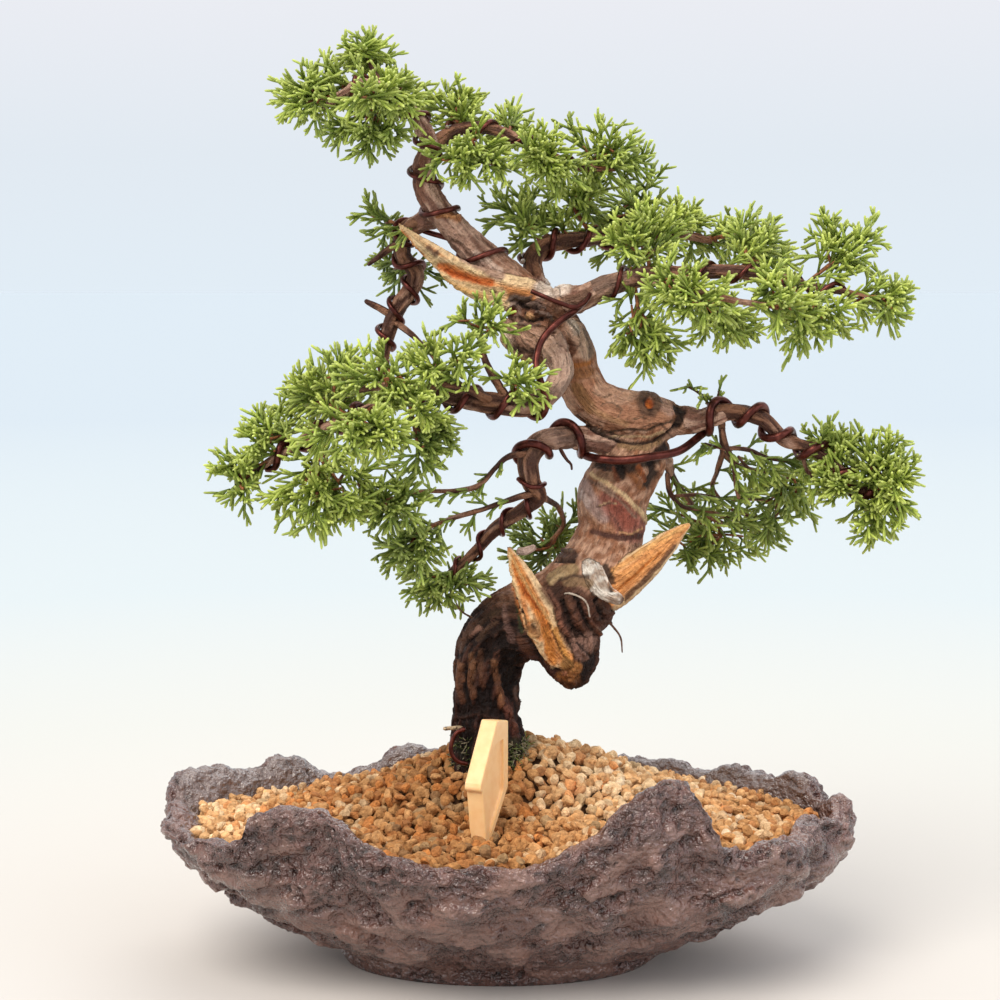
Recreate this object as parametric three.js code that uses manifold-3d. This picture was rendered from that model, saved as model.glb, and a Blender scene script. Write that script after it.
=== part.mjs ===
// A wired juniper bonsai in a rock-shaped bowl. Millimetres, +Z up, the front looks towards -Y,
// and the origin is the middle of the bowl's flat foot.
import * as THREE from 'three';
import { mergeVertices } from 'three/addons/utils/BufferGeometryUtils.js';
import Module from 'manifold-3d';

const library = await Module();
library.setup();
const { Manifold, Mesh: SolidMesh } = library;

// ---- driving dimensions ----
const GAP = 0.35; // clearance between pieces that touch
const BOWL = { halfLength: 150, halfDepth: 99, rimHeight: 64, wall: 9, around: 52 };
const RIM_TILT = 3.5; // the front rim stands this much higher than the middle, the back rim lower
const DRAIN = { x: 30, radius: 6, groove: 8, grooveDepth: 3 };
const DRAIN_MESH = { side: 20, thick: 1.2, opening: 7, bar: 2 };
const SOIL = {
  level: 60, slope: 0.03, mound: 30.5, moundX: 66, moundY: 48, peak: [8, 26], top: 120, grain: 9.3, relief: 2.8,
};
const CORD = { length: 12, radius: 1 }; // one cord of scale leaves
const STEM_RADIUS = 1.1;
const COIL_STEPS = 6; // straight stretches in one turn of wire

// ---- where things stand: [x, y, z, radius] along each limb ----
const FOOT_OF_TREE = [-4, 12];
const LIMBS = {
  trunk_low: [
    [-4, 12, 60, 11], [-4, 12, 76, 16.5], [-5, 12, 90, 16], [-6, 12, 105, 14.2], [-6, 12, 122, 14],
    [-2, 10, 137, 14.8], [8, 4, 147, 16.5], [21, -3, 151, 18.5], [32, -4, 159, 18], [42, 0, 172, 16],
    [48, 4, 187, 14.2], [49, 6, 201, 15.5], [55, 6, 213, 14.5], [62, 5, 224, 13], [65, 4, 232, 11],
  ],
  elbow: [[14, 2, 150, 14], [26, -3, 146, 16], [30, -6, 134, 12.5], [31, -7, 125, 7.5], [31, -7, 120, 3]],
  trunk_high: [
    [79, 3, 233, 6.5], [70, 3, 235, 9.2], [59, 2, 237, 10], [46, 1, 240, 10.2], [38, 0, 245, 9.8], [33, 1, 255, 9.8],
    [30, 2, 266, 9.8], [21, 3, 277, 11], [8, 2, 290, 9], [-5, 0, 302, 7.4], [-16, 0, 313, 6.2],
    [-25, -2, 323, 5.6], [-31, -2, 333, 5.4], [-32, -2, 343, 4.8], [-30, -2, 351, 4.2], [-34, -4, 361, 3.4],
    [-44, -6, 371, 2.8], [-57, -6, 377, 2.2], [-66, -8, 372, 1.7], [-74, -10, 366, 1.2],
  ],
  knot: [[26, 3, 276, 9], [14, 0, 281, 13.5], [7, -1, 286, 10]],
  right_low: [
    [72, 4, 235, 8], [86, 0, 235, 4.3], [98, -4, 239, 3.6], [111, -6, 236, 3.2], [121, -6, 227, 3],
    [133, -8, 223, 2.8], [144, -8, 214, 2.5], [153, -8, 206, 2.1], [164, -10, 202, 1.7], [171, -12, 195, 1.1],
  ],
  right_hang: [
    [94, -3, 237, 2.6], [96, 8, 229, 2.3], [97, 16, 220, 2.1], [96, 26, 211, 1.8], [95, 34, 202, 1.6],
    [105, 40, 192, 1.3], [122, 44, 187, 1],
  ],
  right_hang_side: [[97, 16, 220, 1.9], [104, 20, 214, 1.7], [115, 26, 211, 1.4], [129, 30, 207, 1]],
  back_right: [
    [60, 8, 222, 5], [72, 20, 217, 2.8], [76, 30, 209, 2.4], [84, 42, 197, 2.1], [92, 54, 189, 1.7],
    [106, 62, 183, 1.3], [120, 66, 180, 1],
  ],
  left_low: [
    [50, 4, 226, 6], [39, -3, 227, 5.4], [28, -8, 228, 4.8], [17, -12, 226, 4.6], [12, -14, 219, 4.3],
    [13, -14, 210, 3.8], [16, -10, 203, 3.3], [9, -6, 196, 3], [-1, -2, 189, 2.8], [-9, 0, 180, 2.4],
    [-19, -2, 171, 1.9], [-29, -4, 164, 1.2],
  ],
  left_twig_high: [
    [14, -14, 222, 2.2], [4, -19, 221, 1.9], [-2, -21, 216, 1.7], [-9, -24, 209, 1.6], [-19, -28, 207, 1.4],
    [-31, -30, 207, 1.2], [-43, -32, 205, 1],
  ],
  left_twig_low: [
    [15, -12, 205, 2.1], [6, -17, 203, 1.8], [-6, -20, 199, 1.6], [-20, -22, 195, 1.3], [-34, -22, 190, 1],
  ],
  back_low: [[15, -9, 203, 2.4], [21, 4, 200, 2.1], [26, 18, 195, 1.9], [28, 32, 186, 1.6], [20, 42, 175, 1.1]],
  left_mid: [
    [24, -1, 271, 6], [23, -13, 266, 5.4], [26, -21, 258, 4.8], [22, -27, 249, 4.6], [12, -30, 243, 4.4],
    [-4, -30, 244, 4.2], [-19, -30, 246, 3.8], [-33, -32, 248, 3.4], [-48, -32, 243, 3], [-64, -34, 237, 2.6],
    [-80, -36, 229, 2.1], [-95, -38, 220, 1.6], [-107, -40, 211, 1.1],
  ],
  left_tuft: [[4, -30, 244, 2.4], [-1, -30, 252, 1.9], [-6, -28, 261, 1.6], [-8, -25, 270, 1.1]],
  left_front: [[-4, -31, 245, 2.4], [-13, -40, 250, 2.1], [-26, -48, 252, 1.8], [-42, -56, 248, 1.4], [-56, -64, 240, 1]],
  left_back: [[-26, -31, 247, 2.4], [-36, -20, 251, 2], [-50, -8, 250, 1.7], [-66, 4, 246, 1.3], [-78, 12, 240, 1]],
  high_left: [
    [-22, -1, 322, 4.4], [-32, 6, 320, 3.9], [-41, 11, 315, 3.7], [-42, 15, 306, 3.7], [-37, 17, 298, 3.7],
    [-39, 18, 290, 3.7], [-45, 18, 282, 3.6], [-49, 18, 272, 3.3], [-51, 17, 262, 2.8], [-50, 14, 253, 2],
  ],
  high_left_stub: [[-41, 12, 312, 2.2], [-48, 12, 308, 1.6], [-57, 11, 301, 0.9]],
  bare_twig: [[-46, 17, 277, 1.8], [-38, 12, 271, 1.3], [-29, 8, 262, 1], [-26, 6, 254, 0.8]],
  short_stub: [[-46, 18, 279, 2], [-53, 19, 283, 1.6], [-59, 20, 286, 1.1]],
  right_high: [
    [22, 5, 284, 7.5], [34, -5, 287, 5.2], [44, -8, 292, 4.7], [59, -6, 296, 4], [76, -4, 297, 3.4],
    [93, -4, 298, 3], [110, -4, 297, 2.6], [127, -6, 293, 2.2], [144, -8, 290, 1.7], [160, -10, 286, 1.1],
  ],
  right_front: [[52, -8, 294, 2.6], [62, -22, 294, 2.2], [76, -36, 291, 1.8], [92, -48, 287, 1.3], [108, -54, 284, 1]],
  back_high: [
    [20, 8, 285, 5], [16, 18, 293, 4.2], [14, 22, 303, 4], [20, 25, 310, 3.8], [31, 29, 312, 3.4],
    [44, 34, 313, 3], [62, 39, 315, 2.5], [79, 43, 315, 2], [97, 46, 312, 1.4],
  ],
  crown_right: [
    [-31, -2, 349, 3.6], [-19, 4, 358, 2.9], [-6, 8, 359, 2.6], [9, 10, 354, 2.2], [21, 10, 348, 1.9],
    [34, 10, 343, 1.5], [50, 10, 342, 1],
  ],
  crown_top: [[-44, -6, 371, 2.2], [-52, -2, 380, 1.7], [-56, 1, 389, 1]],
};
// Torn deadwood: flat splinters that stand on the trunk.
const SPLINTERS = {
  splinter_low: [[33, -10, 130, 6], [25, -18, 142, 6.4], [17, -23, 160, 5.2], [9, -26, 174, 3.4], [3, -27, 184, 1]],
  splinter_right: [[38, -4, 157, 9], [50, -9, 166, 7.6], [62, -12, 176, 5.6], [72, -13, 185, 3.6], [81, -14, 192, 1]],
  splinter_high: [
    [18, -3, 287, 8], [5, -7, 289, 6.4], [-8, -9, 293, 5.4], [-18, -10, 299, 4.2], [-30, -11, 308, 2.8], [-43, -12, 318, 0.9],
  ],
  splinter_knot: [[8, -2, 278, 8], [6, -4, 270, 6], [14, -5, 263, 3.6], [21, -4, 258, 1.2]],
  dead_stub: [[36, -8, 174, 5], [40, -16, 170, 3.7], [45, -21, 164, 3], [52, -24, 160, 2]],
};
const ROOT_REACH = 46; // how far each buried root runs from the foot of the tree
const ROOT_BEARINGS = [20, 110, 200, 290]; // degrees

// ---- small helpers ----
function seeded(seed) {
  let state = seed;
  return () => {
    state = (state * 1664525 + 1013904223) % 4294967296;
    return state / 4294967296;
  };
}

const lerp = THREE.MathUtils.lerp;
const vector = ([x, y, z]) => new THREE.Vector3(x, y, z);

// A closed geometry as a solid: vertices merged, and faces that collapsed at a pole dropped.
function solidOf(geometry) {
  const bare = geometry.clone();
  bare.deleteAttribute('normal');
  bare.deleteAttribute('uv');
  const merged = mergeVertices(bare, 1e-3);
  const corners = [];
  const index = merged.index.array;
  for (let i = 0; i < index.length; i += 3) {
    const [a, b, c] = index.slice(i, i + 3);
    if (a !== b && b !== c && a !== c) corners.push(a, b, c);
  }
  return new Manifold(
    new SolidMesh({
      numProp: 3,
      vertProperties: merged.attributes.position.array,
      triVerts: new Uint32Array(corners),
    }),
  );
}

function geometryOf(solid) {
  const { vertProperties, triVerts } = solid.getMesh();
  const geometry = new THREE.BufferGeometry();
  geometry.setAttribute('position', new THREE.BufferAttribute(vertProperties, 3));
  geometry.setIndex(new THREE.BufferAttribute(triVerts, 1));
  return geometry;
}

const joined = (solids) => solids.reduce((a, b) => a.add(b));
const largest = (solid) => solid.decompose().reduce((a, b) => (a.volume() > b.volume() ? a : b));

// Stations along a route: the place, the direction, two directions across it, and the radius.
function stations(route, count) {
  const curve = new THREE.CatmullRomCurve3(route.map(vector), false, 'catmullrom', 0.5);
  curve.arcLengthDivisions = 400;
  let front = new THREE.Vector3(0, -1, 0);
  return Array.from({ length: count + 1 }, (_, i) => {
    const u = i / count;
    const tangent = curve.getTangentAt(u);
    front = front.clone().addScaledVector(tangent, -front.dot(tangent)).normalize();
    const side = front.clone().cross(tangent);
    const along = curve.getUtoTmapping(u) * (route.length - 1);
    const k = Math.min(Math.floor(along), route.length - 2);
    const radius = lerp(route[k][3], route[k + 1][3], along - k);
    return { point: curve.getPointAt(u), tangent, front, side, radius };
  });
}

function lengthOf(route) {
  return route.slice(1).reduce((sum, p, i) => sum + vector(p).distanceTo(vector(route[i])), 0);
}

// A limb: a cylinder bent onto its route. grow makes it thicker all over, to cut its own clearance.
function limb(route, { sides = 6, ring = 9, grow = 0, flat = 1, flutes = 0, twist = 0 } = {}) {
  const rings = Math.max(2, Math.round(lengthOf(route) / ring));
  const line = stations(route, rings);
  const geometry = new THREE.CylinderGeometry(1, 1, 1, sides, rings);
  const place = geometry.attributes.position;
  for (let i = 0; i < place.count; i++) {
    const level = Math.round((place.getY(i) + 0.5) * rings);
    const { point, tangent, front, side, radius } = line[level];
    const [a, b] = [place.getX(i), place.getZ(i)];
    const fluted = radius * (1 + flutes * Math.cos(4 * Math.atan2(b, a) + (twist * level) / rings));
    const past = level === 0 ? -grow : level === rings ? grow : 0;
    const spot = point
      .clone()
      .addScaledVector(tangent, past)
      .addScaledVector(front, a * (fluted * flat + grow))
      .addScaledVector(side, b * (fluted + grow));
    place.setXYZ(i, spot.x, spot.y, spot.z);
  }
  return solidOf(geometry);
}

// ---- bowl ----
// The rim's lobes: [bearing in degrees from +X, height, half width before it, half width after it].
const RIM_LOBES = [
  [299, 29, 13, 7], [232, 17, 7, 17], [183, 5, 10, 12], [158, 12, 12, 10], [134, 12, 9, 14], [104, 14, 14, 13],
  [60, 11, 10, 12], [38, 11, 11, 10], [20, 12, 7, 7], [2, 5, 9, 8], [268, -2, 14, 14], [340, 3, 9, 9],
];

function rimHeight(t) {
  const bearing = THREE.MathUtils.radToDeg(t);
  const lobes = RIM_LOBES.reduce((sum, [at, high, before, after]) => {
    const past = THREE.MathUtils.euclideanModulo(bearing - at + 180, 360) - 180;
    return sum + high * Math.exp(-(Math.abs(past / (past < 0 ? before : after)) ** 3));
  }, 0);
  return BOWL.rimHeight - RIM_TILT * Math.sin(t) + lobes + 0.9 * Math.sin(17 * t) + 0.7 * Math.sin(27 * t + 1);
}

// How far the wall's rock-like surface stands out at a bearing and height share: long swells all over it,
// and torn ledges where it is fullest.
function crag(t, high) {
  const h = Math.min(high, 0.93); // straight up from there to the rim
  const swells = 1.5 * Math.sin(9 * t + 7 * h) + 1.2 * Math.sin(14 * t - 11 * h + 1) + 0.9 * Math.sin(23 * t + 17 * h + 2);
  const ledges = 1.7 * Math.sin(19 * t - 23 * h + 2 * Math.sin(5 * t)) + 1.3 * Math.sin(31 * t + 15 * h);
  return swells + ledges * Math.sin(Math.PI * h);
}

// The plan outline's own lumps: the bowl is longer at its ends and pinched between its lobes.
const lump = (t) => 1 + 0.012 * Math.sin(3 * t + 0.5) + 0.02 * Math.sin(7 * t + 1) + 0.012 * Math.sin(11 * t + 2);

// A point of the bowl: share of the rim outline, millimetres in from it, height share, millimetres up.
function bowlPoint(t, [share, inset, high, lift = 0]) {
  const across = new THREE.Vector2(Math.cos(t) / BOWL.halfLength, Math.sin(t) / BOWL.halfDepth).normalize();
  const offAxis = Math.min(1, share * 3); // nothing uneven at the very middle
  const raised = THREE.MathUtils.smoothstep(high, 0.5, 1) * offAxis;
  const rough = high > 0.1 ? crag(t, high) * Math.min(1, (high - 0.1) * 4) * (inset > 0 ? 0.5 : 1) : 0;
  const middle = Math.sin(Math.PI * THREE.MathUtils.clamp(high, 0, 1));
  const belly = 1 + 0.12 * Math.max(0, Math.cos(t)) * middle + 0.02 * Math.max(0, -Math.cos(t)); // fuller to the right
  const reach = belly * (1 + (lump(t) - 1) * THREE.MathUtils.smoothstep(high, 0.05, 0.8));
  const z = high * BOWL.rimHeight + (rimHeight(t) - BOWL.rimHeight) * raised + lift;
  const out = (rough - inset) * offAxis;
  return new THREE.Vector3(
    BOWL.halfLength * share * reach * Math.cos(t) + out * across.x,
    BOWL.halfDepth * share * reach * Math.sin(t) + out * across.y,
    z,
  );
}

const OUTER_PROFILE = [
  [0, 0, 0], [0.44, 0, 0], [0.46, 0, 0.06], [0.45, 0, 0.12], [0.56, 0, 0.2], [0.68, 0, 0.36], [0.8, 0, 0.54],
  [0.9, 0, 0.71], [0.96, 0, 0.86], [0.985, 0, 0.96], [0.98, 2.5, 1],
];
const INNER_PROFILE = [
  [0, 0, 0.16], [0.3, 0, 0.16], [0.46, 7, 0.22], [0.64, BOWL.wall, 0.42], [0.78, BOWL.wall, 0.59],
  [0.9, BOWL.wall, 0.77], [0.96, BOWL.wall, 0.93], [0.975, 7.5, 0.99],
];

// A closed surface turned from a profile, each point placed by the bowl's own outline.
function turned(profile) {
  const last = profile.length - 1;
  const unit = profile.map((_, j) => new THREE.Vector2(j % last === 0 ? 0 : 1, j));
  const geometry = new THREE.LatheGeometry(unit, BOWL.around);
  const { position, uv } = geometry.attributes;
  for (let i = 0; i < position.count; i++) {
    const t = (Math.round(uv.getX(i) * BOWL.around) % BOWL.around) * ((2 * Math.PI) / BOWL.around);
    const spot = bowlPoint(t, profile[Math.round(uv.getY(i) * last)]);
    position.setXYZ(i, spot.x, spot.y, spot.z);
  }
  return solidOf(geometry);
}

const boxAt = (x, y, z, w, d, h) => solidOf(new THREE.BoxGeometry(w, d, h).translate(x, y, z));
const drainHole = (x) =>
  solidOf(
    new THREE.CylinderGeometry(DRAIN.radius, DRAIN.radius, BOWL.rimHeight / 2, 12).rotateX(Math.PI / 2).translate(x, 0, 0),
  );

// The bowl before its drain holes. grow makes it thicker on the inside only.
function bowlShell(grow = 0) {
  const inner = INNER_PROFILE.map(([share, inset, high]) => [share, inset + (share > 0 ? grow : 0), high, grow]);
  return turned([...OUTER_PROFILE, ...inner.toReversed()]);
}

function bowl() {
  let body = bowlShell();
  for (const x of [-DRAIN.x, DRAIN.x]) {
    body = body.subtract(drainHole(x)).subtract(boxAt(x, 0, 0, DRAIN.groove, 2 * BOWL.halfDepth, 2 * DRAIN.grooveDepth));
  }
  return body;
}

const FLOOR_TOP = 0.16 * BOWL.rimHeight;

function drainMesh(x) {
  const { side, thick, opening, bar } = DRAIN_MESH;
  const z = FLOOR_TOP + GAP + thick / 2;
  let plate = boxAt(x, 0, z, side, side, thick);
  for (const i of [-0.5, 0.5]) {
    for (const j of [-0.5, 0.5]) {
      plate = plate.subtract(boxAt(x + i * (opening + bar), j * (opening + bar), z, opening, opening, 2 * thick));
    }
  }
  return plate;
}

// ---- wood ----
// A root's share of its reach along X and along Y, its height and its radius, from the foot outwards.
const ROOT_COURSE = [[0, 0, 72, 7], [0.35, 0.35, 64, 4.6], [0.65, 0.6, 53, 3.2], [1, 0.8, 44, 1.6]];
const ROOTS = ROOT_BEARINGS.map((bearing) => {
  const [x, y] = FOOT_OF_TREE;
  const angle = THREE.MathUtils.degToRad(bearing);
  const [dx, dy] = [ROOT_REACH * Math.cos(angle), ROOT_REACH * Math.sin(angle)];
  return ROOT_COURSE.map(([alongX, alongY, z, radius]) => [x + alongX * dx, y + alongY * dy, z, radius]);
});

function limbStyle(name) {
  const thickest = Math.max(...LIMBS[name].map(([, , , radius]) => radius));
  if (thickest > 9) return { sides: 10, ring: 13, flutes: 0.05, twist: 5 };
  return thickest > 3.2 ? { sides: 5, ring: 13 } : { sides: 4, ring: 16 };
}

function wood(grow = 0) {
  const solids = Object.entries(LIMBS).map(([name, route]) => limb(route, { ...limbStyle(name), grow }));
  for (const [name, route] of Object.entries(SPLINTERS)) {
    solids.push(limb(route, { sides: 6, ring: 12, flat: name === 'dead_stub' ? 1 : 0.6, grow }));
  }
  for (const route of ROOTS) solids.push(limb(route, { sides: 4, ring: 20, grow }));
  return joined(solids);
}

// ---- training wire ----
// Points of a coil round a limb, from one share of its length to another.
function coil(name, { from, to, turns, phase = 0, radius }) {
  const route = LIMBS[name];
  const rings = Math.round(lengthOf(route) / limbStyle(name).ring);
  const line = stations(route, rings);
  const steps = Math.round(turns * COIL_STEPS);
  return Array.from({ length: steps + 1 }, (_, i) => {
    const along = lerp(from, to, i / steps) * rings;
    const [before, after] = [line[Math.floor(along)], line[Math.ceil(along)]];
    const between = (key) => before[key].clone().lerp(after[key], along % 1);
    const bark = lerp(before.radius, after.radius, along % 1);
    const angle = phase + (2 * Math.PI * turns * i) / steps;
    const reach = (bark + radius + 1.5 * GAP) / Math.cos(Math.PI / COIL_STEPS);
    const spot = between('point')
      .addScaledVector(between('front').normalize(), reach * Math.cos(angle))
      .addScaledVector(between('side').normalize(), reach * Math.sin(angle));
    return [spot.x, spot.y, spot.z, radius];
  });
}

const through = (points, radius) => points.map(([x, y, z]) => [x, y, z, radius]);
const THICK_WIRE = 1.8;
const MIDDLE_WIRE = 1.4;
const CROWN_WIRE = 1.2;
const THIN_WIRE = 1;
const WIRES = {
  // from the low left branch, under the bend of the trunk, to the low right branch
  wire_low: [
    ...coil('left_low', { from: 0.34, to: 0.13, turns: 1.6, phase: 2.2, radius: THICK_WIRE }),
    ...through([[40, -16, 220], [52, -13.5, 219.5], [64, -13, 221], [76, -9, 222]], THICK_WIRE),
    ...coil('right_low', { from: 0.13, to: 0.86, turns: 5.4, phase: 4.2, radius: THICK_WIRE }),
  ],
  // over the knot and down the middle left branch
  wire_mid: [
    ...through(
      [[40, -16, 286], [32, -18, 280], [24, -20, 274], [18, -23, 267], [14, -26, 259], [15, -31, 252]],
      MIDDLE_WIRE,
    ),
    ...coil('left_mid', { from: 0.24, to: 0.93, turns: 7.4, phase: 0.3, radius: MIDDLE_WIRE }),
  ],
  wire_crown: coil('trunk_high', { from: 0.6, to: 0.96, turns: 5.7, phase: 4.5, radius: CROWN_WIRE }),
  // from the trunk onto the high left branch
  wire_high_left: [
    ...coil('trunk_high', { from: 0.44, to: 0.55, turns: 1.2, phase: 1.6, radius: CROWN_WIRE }),
    ...coil('high_left', { from: 0.2, to: 0.86, turns: 5, phase: 2.8, radius: CROWN_WIRE }),
  ],
  wire_right_high: coil('right_high', { from: 0.17, to: 0.96, turns: 6.4, phase: 3.3, radius: THIN_WIRE }),
  wire_back_high: coil('back_high', { from: 0.2, to: 0.82, turns: 4.4, phase: 0.6, radius: MIDDLE_WIRE }),
  wire_left_low: coil('left_low', { from: 0.42, to: 0.94, turns: 4.4, phase: 4.5, radius: THIN_WIRE }),
  wire_crown_right: coil('crown_right', { from: 0.14, to: 0.82, turns: 3.4, phase: 0.6, radius: THIN_WIRE }),
  wire_anchor: through([[-22, 3, 106], [-23.5, 2, 99], [-25, 1, 92], [-23, 0, 84], [-19, 0, 76]], THIN_WIRE),
};

function wire(name, grow = 0) {
  const route = WIRES[name];
  const step = lengthOf(route) / (route.length - 1);
  return limb(route, { sides: 4, ring: step, grow });
}

// ---- label: a thick moulded plate with a recessed face each side and a stake in the soil ----
const LABEL = { at: [-6, -50, 65], turn: 60, thick: 5.5, frame: 3, recess: 1.4, stake: 8, buried: 20 };

function label(grow = 0) {
  const plate = (inset) =>
    new THREE.Shape([
      new THREE.Vector2(-2 + inset, inset), new THREE.Vector2(3, inset),
      new THREE.Vector2(20 - inset, 18 + inset), new THREE.Vector2(20 - inset, 46 - inset),
      new THREE.Vector2(4 + inset, 49 - inset), new THREE.Vector2(-8 + inset, 23),
    ]);
  const slab = (shape, depth, z) =>
    solidOf(new THREE.ExtrudeGeometry(shape, { depth, bevelEnabled: false }).translate(0, 0, z));
  const { thick, frame, recess, stake, buried } = LABEL;
  let body = slab(plate(-grow), thick + 2 * grow, -grow);
  body = body.add(boxAt(1, -buried / 2 + 4, thick / 2, stake + 2 * grow, buried + 8 + 2 * grow, thick - 2 + 2 * grow));
  if (!grow) {
    body = body.subtract(slab(plate(frame), recess, -0.01)).subtract(slab(plate(frame), recess, thick - recess + 0.01));
  }
  const placed = geometryOf(body)
    .translate(0, 0, -thick / 2)
    .rotateX(Math.PI / 2)
    .rotateZ(THREE.MathUtils.degToRad(LABEL.turn))
    .translate(...LABEL.at);
  return solidOf(placed);
}

// ---- substrate: a bed of gravel heaped round the trunk, filling the bowl ----
function soil(cuts) {
  const { level, slope, mound, moundX, moundY, peak, top, grain, relief } = SOIL;
  const random = seeded(7);
  const [length, depth] = [2 * BOWL.halfLength, 2 * BOWL.halfDepth];
  const bed = new THREE.BoxGeometry(length, depth, top, Math.round(length / grain), Math.round(depth / grain), 1);
  bed.translate(0, 0, top / 2);
  const lifts = new Map(); // a corner shared by faces gets one height
  const place = bed.attributes.position;
  for (let i = 0; i < place.count; i++) {
    const [x, y, z] = [place.getX(i), place.getY(i), place.getZ(i)];
    if (z < top / 2) continue;
    const key = `${Math.round(x)},${Math.round(y)}`;
    if (!lifts.has(key)) lifts.set(key, [random(), random(), random()].map((n) => 2 * n - 1));
    const [a, b, c] = lifts.get(key);
    const heap = mound * Math.exp(-(((x - peak[0]) / moundX) ** 2) - ((y - peak[1]) / moundY) ** 2);
    place.setXYZ(i, x + 0.25 * grain * a, y + 0.25 * grain * b, level - slope * y + heap + relief * c);
  }
  // the bed first runs into the bowl's wall, and the bowl then cuts it back
  const hollow = INNER_PROFILE.slice(0, -1).map(([share, inset, high]) => [share, Math.max(0, inset - 3), high, -2]);
  const mouth = INNER_PROFILE.at(-2).slice(0, 2);
  let body = solidOf(bed).intersect(turned([...hollow, [...mouth, 1], [...mouth, 1.6], [0, 0, 1.6]]));
  for (const cut of [bowlShell(1.3 * GAP), ...cuts]) body = body.subtract(cut);
  return largest(body);
}

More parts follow.
